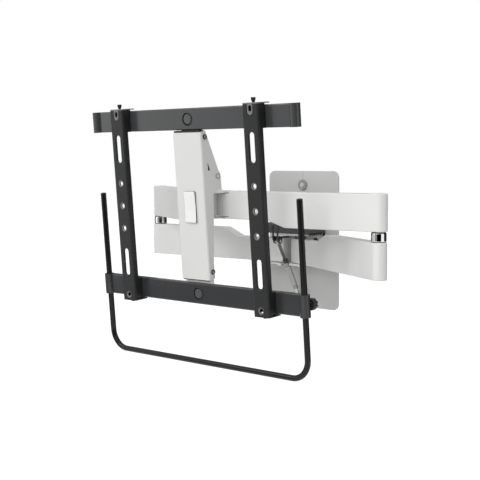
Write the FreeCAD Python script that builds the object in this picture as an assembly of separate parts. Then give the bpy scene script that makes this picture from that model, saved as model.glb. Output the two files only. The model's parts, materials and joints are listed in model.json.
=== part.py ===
import FreeCAD, Part
import math
import os

# Full-motion television wall mount: wall plate, four folding arms, tilting head,
# two sliding strips on a pair of bars and a pull handle. Millimetres.
# Origin: centre of the wall plate's back face. X right, Y into the wall, Z up.
# The rest pose is a part-folded one, with the television frame tilted forward a little.

V = FreeCAD.Vector
X_AXIS = V(1, 0, 0)
Y_AXIS = V(0, 1, 0)
Z_AXIS = V(0, 0, 1)

# Clearances
RUN_GAP = 0.05
SLIDE_GAP = 0.1
SEAT_GAP = 0.2
PLAY = 0.5

# Rounded rims, as a share of the height of a head or cap
RIM_SHARE = 0.35
DOME_SHARE = 0.8

# How far from parallel two directions may be and still count as one
STRAIGHT = 1e-6

# Wall plate
PLATE_W = 207.0
PLATE_H = 316.0
PLATE_T = 3.0
PLATE_CORNER = 16.0
PLATE_EDGE = 0.8
WALL_HOLE_R = 4.5
WALL_HOLE_X = 80.0
WALL_HOLE_Z = 80.0
COVER_Z = 126.0
COVER_R = 12.5
COVER_H = 5.0
COVER_STEM_R = 6.0
COVER_DIMPLE_R = 5.5
MARK_W = 1.2
MARK_DEPTH = 0.8

# Arms
ARM_L = 373.0
ARM_T = 30.6
ARM_TAIL = 17.8
ARM_HEEL = 20.0
ARM_HEEL_R = 3.0
ARM_H = 74.0
ARM_WALL = 3.0
ARM_EDGE = 2.0
ARM_END_R = 15.0
LOWER_ARM_Z = -49.5
LOWER_STEP = 19.5
UPPER_STEP = 14.0
STEP_FROM = 115.0
STEP_TO = 158.0
ARM_BLOCK = 30.0
ARM_COVER_T = 2.0
RING_GAP = 20.5
REST_STEEP_DEG = 26.2
REST_FLAT_DEG = 4.85

# Hinge pins and bushes
PIN_R = 7.0
PIN_HEAD_R = 11.0
PIN_HEAD_H = 4.0
PIN_X = 30.0
PIN_OUT = 45.0
BUSH_WALL = 3.0
BUSH_L = 16.0
BUSH_FLANGE = 1.2
BUSH_FLANGE_R = 13.0
KNUCKLE_H = 7.8
RING_R = 15.3
CAP_H = 0.8
CAP_PLUG = 5.0

# Hinge bracket on the wall plate
BRACKET_T = 4.0
BRACKET_HALF_W = 52.0
BRACKET_REACH = 20.0
BRACKET_CORNER = 12.0
TAB_HALF_W = 16.0
NOTCH_HALF_W = 13.0
BOLT_X = 42.0
BOLT_INSET_Z = 18.0
BOLT_R = 4.0
BOLT_HEAD_R = 6.5
BOLT_HEAD_H = 4.5

# Hood over the hinge bracket
HOOD_HALF_W = 66.0
HOOD_H = 23.0
HOOD_OUT = 66.0
HOOD_WALL = 2.5
HOOD_EDGE = 6.0

# Levelling strut between the plate's foot and the bracket's tab
STRUT_TOP_OUT = 92.5
STRUT_TOP_DROP = 11.2
STRUT_FOOT_OUT = 16.0
STRUT_FOOT_Z = -129.0
STRUT_PIN_R = 2.5
STRUT_PIN_HEAD_R = 3.6
STRUT_PIN_HEAD_H = 2.5
EYE_R = 5.5
EYE_HALF_T = 5.0
EAR_T = 3.0
EAR_R = 6.5
FOOT_HALF_H = 17.0
BARREL_R = 7.0
BARREL_L = 72.0
BARREL_FROM = 20.0
ROD_R = 3.4
ROD_IN = 30.0
NUT_R = 6.4
NUT_L = 8.0

# Carriage on the upper arms
CARRIAGE_T = 4.0
LUG_R = 12.5
WEB_OUT = 19.5
WEB_T = 8.0
WEB_HALF_W = 12.0
EAR_FRONT = 60.0
EAR_BACK = 30.0
TILT_EAR_R = 12.0
TILT_EAR_T = 3.5
TILT_BOLT_R = 4.0
TILT_HEAD_R = 6.0
TILT_HEAD_H = 2.8

# Head: the frame's own coordinates are X right, Y back from the strips' front, Z up the strips
FRAME_OUT = 101.8
FRAME_Z = 83.45
TILT_DEG = 4.46
PIVOT_BACK = 60.4
PIVOT_UP = 63.5

# Column
COLUMN_W = 84.0
COLUMN_T = 2.0
COLUMN_FRONT = 17.5
COLUMN_TOP_GAP = 5.05
COLUMN_FOOT_GAP = 9.05
COLUMN_CORNER = 4.0
COLUMN_TOP_DEPTH = 14.3
COLUMN_TOP_RISE = 3.0
COLUMN_LOW_DEPTH = 13.7
COLUMN_STEP_DEPTH = 29.0
COLUMN_STEP_UP = 35.0
GUSSET_DEPTH = 50.0
GUSSET_LOW_UP = 39.0
GUSSET_HIGH_UP = 67.0
SLIT_W = 3.0
SLIT_L = 14.0
SLIT_BACK = 34.0
SLIT_UP = 78.0
SCREW_BACK = 29.0
SCREW_TOP_IN = 10.0
SCREW_LOW_IN = 17.0
SCREW_R = 2.5
SCREW_HEAD_R = 5.5
SCREW_HEAD_H = 3.2
BADGE_W = 34.0
BADGE_H = 67.0
BADGE_T = 4.0
BADGE_UP = 1.5
BADGE_CORNER = 3.5
BADGE_BOW = 1.3

# Backbone plate behind the bars
BACKBONE_T = 3.0
BACKBONE_NECK_HALF_W = 30.0
BACKBONE_PAST = 19.0
TAB_H = 17.0
TAB_T = 3.0
TAB_DEPTH = 10.0

# Bars
BAR_FRONT = 22.8
BAR_H = 45.9
BAR_UP = 186.0
BAR_T = 2.5
BAR_DEPTH = 10.0
BAR_EDGE = 3.0
SLEEVE_X = 294.0
SLEEVE_R = 10.8
SLEEVE_BACK = 25.0
SLEEVE_PLUG_L = 12.0
DISC_R = 14.0
DISC_H = 1.6
DISC_STEM_R = 5.0
BAR_BOLT_X = 18.0

# Strips
STRIP_X = 200.0
STRIP_W = 41.5
STRIP_T = 2.0
STRIP_DEPTH = 13.0
STRIP_TAB_DEPTH = 22.4
STRIP_PAST = 2.55
STRIP_CORNER = 4.0
HOLE_R = 4.7
HOLE_PITCH = 50.0
DIMPLE_R = 7.4
DIMPLE_DEPTH = 1.5
SLOT_R = 6.6
SLOT_DISH_R = 9.2
SLOT_DISH_DEPTH = 1.5
SLOT_FROM = 96.0
SLOT_TO = 156.5
FOOT_HOLE_IN = 11.0
HOOK_T = 2.4
HOOK_LIP = 13.0
HOOK_LIP_HALF_W = 8.0
TONGUE_L = 22.0
TONGUE_HALF_W = 7.0
TONGUE_GAP = 1.6
TONGUE_EYE_R = 4.3
TONGUE_EYE_FROM = 2.5
TONGUE_EYE_TO = 15.0
THUMB_BACK = 12.0
THUMB_R = 4.7
THUMB_H = 5.4
THUMB_FOOT_H = 4.6
THUMB_FOOT_R = 2.6
THUMB_SHANK_R = 2.0
THUMB_SHANK_L = 16.0
CLIP_SCREW_R = 5.0
CLIP_SCREW_H = 4.0

# Handle
TUBE_R = 6.25
TUBE_WALL = 1.5
HANDLE_TOP_UP = 23.0
HANDLE_RUN_UP = -337.0
HANDLE_BEND_R = 42.0
PLUG_L = 10.0
PLUG_DOME = 2.5
KNOB_R = 12.5
KNOB_NECK_R = 8.0
KNOB_NECK_L = 3.0
KNOB_L = 13.0
KNOB_LOBES = 8
KNOB_LOBE_R = 3.0
KNOB_SHANK_R = 4.0

# Worked out from the sizes above
STEEP = math.radians(REST_STEEP_DEG)
FLAT = math.radians(REST_FLAT_DEG)
PLATE_FRONT = -PLATE_T
PIN_Y = PLATE_FRONT - PIN_OUT
LOWER_TOP = LOWER_ARM_Z + ARM_H
LOWER_INNER_TOP = LOWER_TOP - LOWER_STEP
UPPER_ARM_Z = LOWER_TOP + RING_GAP
UPPER_TOP = UPPER_ARM_Z + ARM_H
UPPER_INNER_Z = UPPER_ARM_Z + UPPER_STEP
HALF_T = ARM_T / 2
BORE_R = PIN_R + RUN_GAP + BUSH_WALL
CARRIAGE_X = ARM_L * (math.cos(STEEP) - math.cos(FLAT))
CARRIAGE_Y = PIN_Y - ARM_L * (math.sin(STEEP) + math.sin(FLAT))
FLANGE_TOP_Z = LOWER_INNER_TOP + KNUCKLE_H + SEAT_GAP
FLANGE_LOW_Z = LOWER_ARM_Z - BUSH_FLANGE - SEAT_GAP - BRACKET_T
BRACKET_OUT = PIN_Y - BRACKET_REACH
REBATE = CARRIAGE_T + SEAT_GAP + BUSH_FLANGE
UPPER_PLATE_Z = UPPER_TOP - CARRIAGE_T
LOWER_PLATE_Z = UPPER_INNER_Z
COLUMN_HALF_W = COLUMN_W / 2
COLUMN_INNER = COLUMN_HALF_W - COLUMN_T
TILT_EAR_OUT = COLUMN_INNER - PLAY
BAR_BACK = BAR_FRONT + BAR_DEPTH
BACKBONE_FRONT = BAR_BACK + SEAT_GAP
BACKBONE_BACK = BACKBONE_FRONT + BACKBONE_T
BAR_TOP = BAR_UP + BAR_H / 2
BAR_LOW = BAR_UP - BAR_H / 2
COLUMN_TOP = BAR_LOW - COLUMN_TOP_GAP
COLUMN_BOTTOM = COLUMN_FOOT_GAP - BAR_LOW
SCREW_TOP_UP = COLUMN_TOP - SCREW_TOP_IN
SCREW_LOW_UP = COLUMN_BOTTOM + SCREW_LOW_IN
BACKBONE_UP = BAR_UP + BACKBONE_PAST
BACKBONE_WIDE_UP = -COLUMN_BOTTOM - COLUMN_T
STRIP_UP = BAR_TOP + STRIP_PAST
FOOT_HOLE_UP = FOOT_HOLE_IN - STRIP_UP
STRUT_TOP = V(0, -STRUT_TOP_OUT, FLANGE_TOP_Z - STRUT_TOP_DROP)
STRUT_FOOT = V(0, PLATE_FRONT - STRUT_FOOT_OUT, STRUT_FOOT_Z)
STRUT_AXIS = (STRUT_TOP - STRUT_FOOT).normalize()
STRUT_L = (STRUT_TOP - STRUT_FOOT).Length
BARREL_BASE = STRUT_FOOT + STRUT_AXIS * BARREL_FROM
BARREL_END = BARREL_FROM + BARREL_L
HEAD = FreeCAD.Placement(
    V(CARRIAGE_X, CARRIAGE_Y - FRAME_OUT, FRAME_Z), FreeCAD.Rotation(X_AXIS, TILT_DEG)
)
PIVOT = HEAD.multVec(V(0, PIVOT_BACK, PIVOT_UP))


# Helpers
def box(x0, x1, y0, y1, z0, z1):
    """Box between two corners."""
    return Part.makeBox(x1 - x0, y1 - y0, z1 - z0, V(x0, y0, z0))


def rod(start, axis, length, radius):
    """Round bar from a start point along an axis."""
    return Part.makeCylinder(radius, length, start, axis)


def tube(start, axis, length, radius, bore):
    """Round bar with a through bore."""
    return rod(start, axis, length, radius).cut(rod(start, axis, length, bore))


def prism(points, axis):
    """Straight solid from a closed outline."""
    return Part.Face(Part.makePolygon(points + [points[0]])).extrude(axis)


def fuse(first, *others):
    """One solid from touching solids."""
    return first.fuse(list(others)).removeSplitter()


def runs_along(edge, axis):
    """True for a straight edge parallel to an axis."""
    if not isinstance(edge.Curve, Part.Line):
        return False
    return edge.tangentAt(edge.FirstParameter).cross(axis).Length < STRAIGHT


def rounded(shape, radius, wanted):
    """Fillet the edges that a test picks."""
    return shape.makeFillet(radius, [edge for edge in shape.Edges if wanted(edge)])


def mirrored(shape):
    """Mirror image across the middle plane."""
    return shape.mirror(V(0, 0, 0), X_AXIS)


def placed(shape, placement):
    """Copy of a shape moved by a placement."""
    copy = shape.copy()
    copy.Placement = placement.multiply(copy.Placement)
    return copy


def on_head(shape):
    """Shape moved from the frame's own coordinates to the rest pose."""
    return placed(shape, HEAD)


def both_sides(shape):
    """A shape and its mirror image as one group."""
    return Part.makeCompound([shape, mirrored(shape)])


# Wall side
def wall_plate():
    """Flat plate with round corners, screw holes, a hole under the cover and a centre mark."""
    half_w = PLATE_W / 2
    half_h = PLATE_H / 2
    plate = box(-half_w, half_w, PLATE_FRONT, 0, -half_h, half_h)
    plate = rounded(plate, PLATE_CORNER, lambda e: runs_along(e, Y_AXIS))
    plate = rounded(plate, PLATE_EDGE, lambda e: abs(e.BoundBox.YMax - PLATE_FRONT) < SEAT_GAP)
    for x in (-WALL_HOLE_X, WALL_HOLE_X):
        plate = plate.cut(rod(V(x, PLATE_FRONT, WALL_HOLE_Z), Y_AXIS, PLATE_T, WALL_HOLE_R))
    plate = plate.cut(rod(V(0, PLATE_FRONT, COVER_Z), Y_AXIS, PLATE_T, COVER_STEM_R))
    mark = box(-MARK_W / 2, MARK_W / 2, PLATE_FRONT, PLATE_FRONT + MARK_DEPTH, COVER_Z + COVER_R, half_h)
    plate = plate.cut(mark)
    for x, z in bolt_places():
        plate = plate.cut(rod(V(x, PLATE_FRONT, z), Y_AXIS, PLATE_T, BOLT_R + RUN_GAP))
    return plate


def screw_cover():
    """Round cover over the upper middle wall screw."""
    face = PLATE_FRONT - COVER_H
    cover = rod(V(0, face, COVER_Z), Y_AXIS, COVER_H, COVER_R)
    cover = rounded(cover, COVER_H * RIM_SHARE, lambda e: abs(e.BoundBox.YMax - face) < SEAT_GAP)
    stem = rod(V(0, PLATE_FRONT, COVER_Z), Y_AXIS, PLATE_T / 2, COVER_STEM_R - SLIDE_GAP)
    dimple = rod(V(0, face, COVER_Z), Y_AXIS, COVER_H * RIM_SHARE, COVER_DIMPLE_R)
    return fuse(cover, stem).cut(dimple)


def bolt_places():
    """Centres of the four bolts that hold the bracket to the plate."""
    low = FLANGE_LOW_Z + BOLT_INSET_Z
    high = FLANGE_TOP_Z + BRACKET_T - BOLT_INSET_Z
    return [(x, z) for x in (-BOLT_X, BOLT_X) for z in (low, high)]


def bracket_flange(z):
    """Flat flange that carries both wall pins."""
    flange = box(-BRACKET_HALF_W, BRACKET_HALF_W, BRACKET_OUT, PLATE_FRONT, z, z + BRACKET_T)
    flange = rounded(
        flange,
        BRACKET_CORNER,
        lambda e: runs_along(e, Z_AXIS) and e.BoundBox.YMax < BRACKET_OUT + SEAT_GAP,
    )
    for x in (-PIN_X, PIN_X):
        flange = flange.cut(rod(V(x, PIN_Y, z), Z_AXIS, BRACKET_T, PIN_R + RUN_GAP))
    return flange


def wall_bracket():
    """C-shaped hinge bracket: back, two flanges, a tab for the strut and a notch that it passes."""
    top = FLANGE_TOP_Z + BRACKET_T
    back = box(-BRACKET_HALF_W, BRACKET_HALF_W, PLATE_FRONT - BRACKET_T, PLATE_FRONT, FLANGE_LOW_Z, top)
    tab_out = -STRUT_TOP_OUT - EAR_R
    tab = box(-TAB_HALF_W, TAB_HALF_W, tab_out, BRACKET_OUT + BRACKET_CORNER, FLANGE_TOP_Z, top)
    bracket = fuse(back, bracket_flange(FLANGE_TOP_Z), bracket_flange(FLANGE_LOW_Z), tab)
    notch_y = STRUT_FOOT.y + (FLANGE_LOW_Z - STRUT_FOOT.z) * STRUT_AXIS.y / STRUT_AXIS.z
    notch = box(-NOTCH_HALF_W, NOTCH_HALF_W, BRACKET_OUT, notch_y, FLANGE_LOW_Z, FLANGE_LOW_Z + BRACKET_T)
    end = rod(V(0, notch_y, FLANGE_LOW_Z), Z_AXIS, BRACKET_T, NOTCH_HALF_W)
    bracket = bracket.cut(fuse(notch, end))
    for x, z in bolt_places():
        hole = rod(V(x, PLATE_FRONT - BRACKET_T, z), Y_AXIS, BRACKET_T, BOLT_R + RUN_GAP)
        bracket = bracket.cut(hole)
    return bracket


def bracket_bolts():
    """Four round-head bolts through the bracket's back and the plate."""
    bolts = []
    for x, z in bolt_places():
        seat = PLATE_FRONT - BRACKET_T
        head = rod(V(x, seat - BOLT_HEAD_H, z), Y_AXIS, BOLT_HEAD_H, BOLT_HEAD_R)
        head = rounded(head, BOLT_HEAD_H * RIM_SHARE, lambda e: e.BoundBox.YMax < seat - BOLT_HEAD_H / 2)
        shank = rod(V(x, seat, z), Y_AXIS, BRACKET_T + PLATE_T, BOLT_R)
        bolts.append(fuse(head, shank))
    return Part.makeCompound(bolts)


def wall_pins():
    """Pair of headed pins that pass the bracket's two flanges."""
    pins = []
    high = FLANGE_TOP_Z + BRACKET_T
    for x in (-PIN_X, PIN_X):
        shank = rod(V(x, PIN_Y, FLANGE_LOW_Z), Z_AXIS, high - FLANGE_LOW_Z, PIN_R)
        foot = rod(V(x, PIN_Y, FLANGE_LOW_Z - PIN_HEAD_H), Z_AXIS, PIN_HEAD_H, PIN_HEAD_R)
        head = rod(V(x, PIN_Y, high), Z_AXIS, PIN_HEAD_H, PIN_HEAD_R)
        pins.append(fuse(shank, foot, head))
    return Part.makeCompound(pins)


def carriage_pins():
    """Pair of pins riveted flush in the carriage's plates."""
    length = UPPER_PLATE_Z + CARRIAGE_T - LOWER_PLATE_Z
    left = rod(V(CARRIAGE_X - PIN_X, CARRIAGE_Y, LOWER_PLATE_Z), Z_AXIS, length, PIN_R)
    right = rod(V(CARRIAGE_X + PIN_X, CARRIAGE_Y, LOWER_PLATE_Z), Z_AXIS, length, PIN_R)
    return Part.makeCompound([left, right])


def bracket_hood():
    """Moulded hood that stands on the bracket's top flange, open below."""
    low = FLANGE_TOP_Z + BRACKET_T
    front = PLATE_FRONT - HOOD_OUT
    hood = box(-HOOD_HALF_W, HOOD_HALF_W, front, PLATE_FRONT, low, low + HOOD_H)
    hood = rounded(
        hood, HOOD_EDGE, lambda e: runs_along(e, Z_AXIS) and e.BoundBox.YMax < front + SEAT_GAP
    )
    hood = rounded(
        hood,
        HOOD_EDGE / 2,
        lambda e: e.BoundBox.ZMin > low + HOOD_H - SEAT_GAP and e.BoundBox.YMin < PLATE_FRONT - SEAT_GAP,
    )
    room = box(
        HOOD_WALL - HOOD_HALF_W,
        HOOD_HALF_W - HOOD_WALL,
        front + HOOD_WALL,
        PLATE_FRONT,
        low,
        low + HOOD_H - HOOD_WALL,
    )
    return hood.cut(room)


# Levelling strut
def strut_ear(x, centre, root):
    """Flat ear from a root block to a round end about a pin."""
    disc = rod(centre + V(x, 0, 0), X_AXIS, EAR_T, EAR_R)
    ear = fuse(disc, root)
    return ear.cut(rod(centre + V(x, 0, 0), X_AXIS, EAR_T, STRUT_PIN_R + RUN_GAP))


def strut_foot():
    """Foot bracket on the plate with two ears."""
    half_w = EYE_HALF_T + SEAT_GAP + EAR_T
    y = STRUT_FOOT.y
    low = STRUT_FOOT_Z - FOOT_HALF_H
    base = box(-TAB_HALF_W, TAB_HALF_W, PLATE_FRONT - EAR_T, PLATE_FRONT, low, low + 2 * FOOT_HALF_H)
    ears = []
    for x in (-half_w, half_w - EAR_T):
        root = box(x, x + EAR_T, y, PLATE_FRONT - EAR_T, STRUT_FOOT_Z - EAR_R, STRUT_FOOT_Z + EAR_R)
        ears.append(strut_ear(x, STRUT_FOOT, root))
    return fuse(base, *ears)


def strut_clevis():
    """Two ears under the bracket's tab, joined above the rod's eye."""
    half_w = EYE_HALF_T + SEAT_GAP + EAR_T
    near = STRUT_TOP.y - EAR_R
    far = STRUT_TOP.y + EAR_R
    bridge = box(-half_w, half_w, near, far, FLANGE_TOP_Z - EAR_T, FLANGE_TOP_Z)
    ears = []
    for x in (-half_w, half_w - EAR_T):
        root = box(x, x + EAR_T, near, far, STRUT_TOP.z, FLANGE_TOP_Z)
        ears.append(strut_ear(x, STRUT_TOP, root))
    return fuse(bridge, *ears)


def strut_pins():
    """Headed cross pins of the foot and the clevis."""
    half_w = EYE_HALF_T + SEAT_GAP + EAR_T
    pins = []
    for centre in (STRUT_FOOT, STRUT_TOP):
        shank = rod(centre - V(half_w, 0, 0), X_AXIS, 2 * half_w, STRUT_PIN_R)
        left = rod(centre - V(half_w + STRUT_PIN_HEAD_H, 0, 0), X_AXIS, STRUT_PIN_HEAD_H, STRUT_PIN_HEAD_R)
        right = rod(centre + V(half_w, 0, 0), X_AXIS, STRUT_PIN_HEAD_H, STRUT_PIN_HEAD_R)
        pins.append(fuse(shank, left, right))
    return Part.makeCompound(pins)


def eye_rod(centre, axis, length):
    """Rod with a flat eye about a cross pin."""
    eye = rod(centre - V(EYE_HALF_T, 0, 0), X_AXIS, 2 * EYE_HALF_T, EYE_R)
    body = fuse(eye, rod(centre, axis, length, ROD_R))
    return body.cut(rod(centre - V(EYE_HALF_T, 0, 0), X_AXIS, 2 * EYE_HALF_T, STRUT_PIN_R + RUN_GAP))


def strut_lower_eye():
    """Threaded eye at the strut's foot."""
    return eye_rod(STRUT_FOOT, STRUT_AXIS, BARREL_FROM + ROD_IN)


def strut_rod():
    """Upper rod with its eye in the clevis."""
    return eye_rod(STRUT_TOP, STRUT_AXIS * -1, STRUT_L - BARREL_END + ROD_IN)


def strut_barrel():
    """Turnbuckle barrel, bored for both rods."""
    return tube(BARREL_BASE, STRUT_AXIS, BARREL_L, BARREL_R, ROD_R + RUN_GAP)


def strut_lock_nut():
    """Knurled lock nut at the barrel's upper end."""
    start = BARREL_BASE + STRUT_AXIS * BARREL_L
    return tube(start, STRUT_AXIS, NUT_L, NUT_R, ROD_R + RUN_GAP)


# Arms, in their own coordinates: inner pin at the origin, outer pin along X, back of the arm at +Y
def arm_outline(z_low_in, z_low_out, z_high_in, z_high_out, inset):
    """Side view of an arm with a sloping step, as points on X and Z."""
    x0 = ARM_BLOCK if inset else -ARM_HEEL
    x1 = ARM_L - ARM_BLOCK if inset else ARM_L + ARM_TAIL
    return [
        V(x0, -ARM_T, z_low_in + inset),
        V(STEP_FROM, -ARM_T, z_low_in + inset),
        V(STEP_TO, -ARM_T, z_low_out + inset),
        V(x1, -ARM_T, z_low_out + inset),
        V(x1, -ARM_T, z_high_out - inset),
        V(STEP_TO, -ARM_T, z_high_out - inset),
        V(STEP_FROM, -ARM_T, z_high_in - inset),
        V(x0, -ARM_T, z_high_in - inset),
    ]


def arm_levels(upper):
    """Heights of an arm: low inner, low outer, high inner, high outer."""
    if upper:
        return UPPER_INNER_Z, UPPER_ARM_Z, UPPER_TOP, UPPER_TOP
    return LOWER_ARM_Z, LOWER_ARM_Z, LOWER_INNER_TOP, LOWER_TOP


def straightened(points):
    """Outline without the points that lie on a straight run."""
    kept = []
    for index, point in enumerate(points):
        before = point - points[index - 1]
        after = points[(index + 1) % len(points)] - point
        if before.cross(after).Length > STRAIGHT:
            kept.append(point)
    return kept


def arm_beam(upper):
    """Box beam, open at the back between two solid hinge blocks."""
    levels = arm_levels(upper)
    low = min(levels)
    plan = box(-ARM_HEEL, ARM_L + ARM_TAIL, -HALF_T, HALF_T, low, low + ARM_H)
    plan = rounded(plan, ARM_END_R, lambda e: runs_along(e, Z_AXIS) and e.BoundBox.XMin > ARM_L)
    plan = rounded(plan, ARM_HEEL_R, lambda e: runs_along(e, Z_AXIS) and e.BoundBox.XMax < 0)
    side = prism(straightened(arm_outline(*levels, 0)), Y_AXIS * (2 * ARM_T))
    beam = plan.common(side)
    beam = rounded(beam, ARM_EDGE, lambda e: not runs_along(e, Z_AXIS) and not runs_along(e, Y_AXIS))
    pocket = prism(straightened(arm_outline(*levels, ARM_WALL)), Y_AXIS * (2 * ARM_T))
    pocket.translate(V(0, ARM_T - HALF_T + ARM_WALL, 0))
    beam = beam.cut(pocket)
    inner = rod(V(0, 0, low), Z_AXIS, ARM_H, BORE_R)
    outer = rod(V(ARM_L, 0, low), Z_AXIS, ARM_H, BORE_R if upper else PIN_R + RUN_GAP)
    beam = beam.cut(inner).cut(outer)
    if upper:
        for z in (UPPER_INNER_Z, UPPER_TOP - REBATE):
            beam = beam.cut(box(-2 * ARM_HEEL, LUG_R + PLAY, -ARM_T, ARM_T, z, z + REBATE))
    return beam


def arm_cover(upper):
    """Clip-on back cover of an arm's cable channel."""
    outline = straightened(arm_outline(*arm_levels(upper), ARM_WALL))
    opening = Part.makePolygon(outline + [outline[0]])
    face = Part.Face(opening.makeOffset2D(-SEAT_GAP))
    cover = face.extrude(Y_AXIS * ARM_COVER_T)
    cover.translate(V(0, ARM_T + HALF_T - ARM_COVER_T, 0))
    return cover


def bush(x, z, up, flange_t):
    """Flanged bush; the flange lies outside the arm."""
    axis = Z_AXIS if up else Z_AXIS * -1
    sleeve = rod(V(x, 0, z), axis * -1, BUSH_L, BORE_R - RUN_GAP)
    flange = rod(V(x, 0, z), axis, flange_t, BUSH_FLANGE_R)
    bore = rod(V(x, 0, z) - axis * BUSH_L, axis, BUSH_L + flange_t, PIN_R + RUN_GAP)
    return fuse(sleeve, flange).cut(bore)


def arm_bushes(upper):
    """Flanged bushes in an arm's hinge blocks; a lower arm's top one is a tall knuckle."""
    low_in, low_out, high_in, high_out = arm_levels(upper)
    sunk = REBATE if upper else 0
    top_t = BUSH_FLANGE if upper else KNUCKLE_H
    bushes = [bush(0, low_in + sunk, False, BUSH_FLANGE), bush(0, high_in - sunk, True, top_t)]
    if upper:
        bushes.append(bush(ARM_L, low_out, False, BUSH_FLANGE))
    return Part.makeCompound(bushes)


def elbow_pin():
    """Pin fixed in the lower arm's end and standing up through the ring and the upper arm."""
    return rod(V(ARM_L, 0, LOWER_ARM_Z), Z_AXIS, UPPER_TOP - CAP_PLUG - LOWER_ARM_Z, PIN_R)


def elbow_ring():
    """Bright ring between the two arms of an elbow."""
    low = LOWER_TOP + SEAT_GAP
    high = UPPER_ARM_Z - BUSH_FLANGE - SEAT_GAP
    ring = rod(V(ARM_L, 0, low), Z_AXIS, high - low, RING_R)
    ring = rounded(ring, BUSH_FLANGE, lambda e: not runs_along(e, Z_AXIS))
    return ring.cut(rod(V(ARM_L, 0, low), Z_AXIS, high - low, PIN_R + RUN_GAP))


def elbow_cap():
    """Domed plug over the elbow pin."""
    plug = rod(V(ARM_L, 0, UPPER_TOP - CAP_PLUG + SEAT_GAP), Z_AXIS, CAP_PLUG - SEAT_GAP, BORE_R - RUN_GAP)
    disc = rod(V(ARM_L, 0, UPPER_TOP), Z_AXIS, CAP_H, BUSH_FLANGE_R)
    disc = rounded(disc, CAP_H / 2, lambda e: e.BoundBox.ZMin > UPPER_TOP + SEAT_GAP)
    return fuse(plug, disc)


def arm_placement(upper, angle_deg):
    """Place of a right-hand arm: the upper one leans back from the carriage, the lower one out."""
    if upper:
        return FreeCAD.Placement(V(PIN_X, CARRIAGE_Y, 0), FreeCAD.Rotation(Z_AXIS, angle_deg))
    return FreeCAD.Placement(V(PIN_X, PIN_Y, 0), FreeCAD.Rotation(Z_AXIS, -angle_deg))


def arm_on_side(shape, side, upper, angle_deg):
    """Arm piece at its rest place on the right or left side."""
    shape = placed(shape, arm_placement(upper, angle_deg))
    if side == "left":
        shape = mirrored(shape)
    if upper:
        shape = placed(shape, FreeCAD.Placement(V(CARRIAGE_X, 0, 0), FreeCAD.Rotation()))
    return shape


# Carriage
def carriage_plate(z, front_half_w):
    """Plate with a lug about each carriage pin, which narrows or widens towards the web."""
    back = CARRIAGE_Y + LUG_R
    front = CARRIAGE_Y - WEB_OUT - WEB_T
    outline = [
        V(-PIN_X, back, z),
        V(PIN_X, back, z),
        V(front_half_w, front, z),
        V(-front_half_w, front, z),
    ]
    lugs = [rod(V(x, CARRIAGE_Y, z), Z_AXIS, CARRIAGE_T, LUG_R) for x in (-PIN_X, PIN_X)]
    plate = fuse(prism(outline, Z_AXIS * CARRIAGE_T), *lugs)
    for x in (-PIN_X, PIN_X):
        plate = plate.cut(rod(V(x, CARRIAGE_Y, z), Z_AXIS, CARRIAGE_T, PIN_R + RUN_GAP))
    return plate


def carriage():
    """C-shaped bracket on the upper arms' pins, with two ears for the tilt bolts."""
    web_back = CARRIAGE_Y - WEB_OUT
    top = UPPER_PLATE_Z + CARRIAGE_T
    web = box(-WEB_HALF_W, WEB_HALF_W, web_back - WEB_T, web_back, LOWER_PLATE_Z, top)
    shelf = box(
        -TILT_EAR_OUT, TILT_EAR_OUT, CARRIAGE_Y - EAR_FRONT, web_back - WEB_T, UPPER_PLATE_Z, top
    )
    upper = carriage_plate(UPPER_PLATE_Z, TILT_EAR_OUT)
    lower = carriage_plate(LOWER_PLATE_Z, WEB_HALF_W)
    body = fuse(web, shelf, upper, lower)
    ears = []
    for x in (-TILT_EAR_OUT, TILT_EAR_OUT - TILT_EAR_T):
        disc = rod(V(x, PIVOT.y, PIVOT.z), X_AXIS, TILT_EAR_T, TILT_EAR_R)
        root = prism(
            [
                V(x, CARRIAGE_Y - EAR_FRONT, UPPER_PLATE_Z),
                V(x, CARRIAGE_Y - EAR_BACK, UPPER_PLATE_Z),
                V(x, PIVOT.y + TILT_EAR_R, PIVOT.z),
                V(x, PIVOT.y - TILT_EAR_R, PIVOT.z),
            ],
            X_AXIS * TILT_EAR_T,
        )
        ears += [disc, root]
    body = fuse(body, *ears)
    hole = rod(V(-COLUMN_W, PIVOT.y, PIVOT.z), X_AXIS, 2 * COLUMN_W, TILT_BOLT_R + RUN_GAP)
    body = body.cut(hole)
    body.translate(V(CARRIAGE_X, 0, 0))
    return body


def tilt_bolts():
    """Headed bolts through the column's gussets and the carriage's ears."""
    start = TILT_EAR_OUT - TILT_EAR_T
    seat = COLUMN_HALF_W + SEAT_GAP
    shank = rod(V(start, PIVOT_BACK, PIVOT_UP), X_AXIS, seat - start, TILT_BOLT_R)
    head = rod(V(seat, PIVOT_BACK, PIVOT_UP), X_AXIS, TILT_HEAD_H, TILT_HEAD_R)
    head = rounded(head, TILT_HEAD_H * RIM_SHARE, lambda e: e.BoundBox.XMin > seat + SEAT_GAP)
    return on_head(both_sides(fuse(shank, head)))


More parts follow.
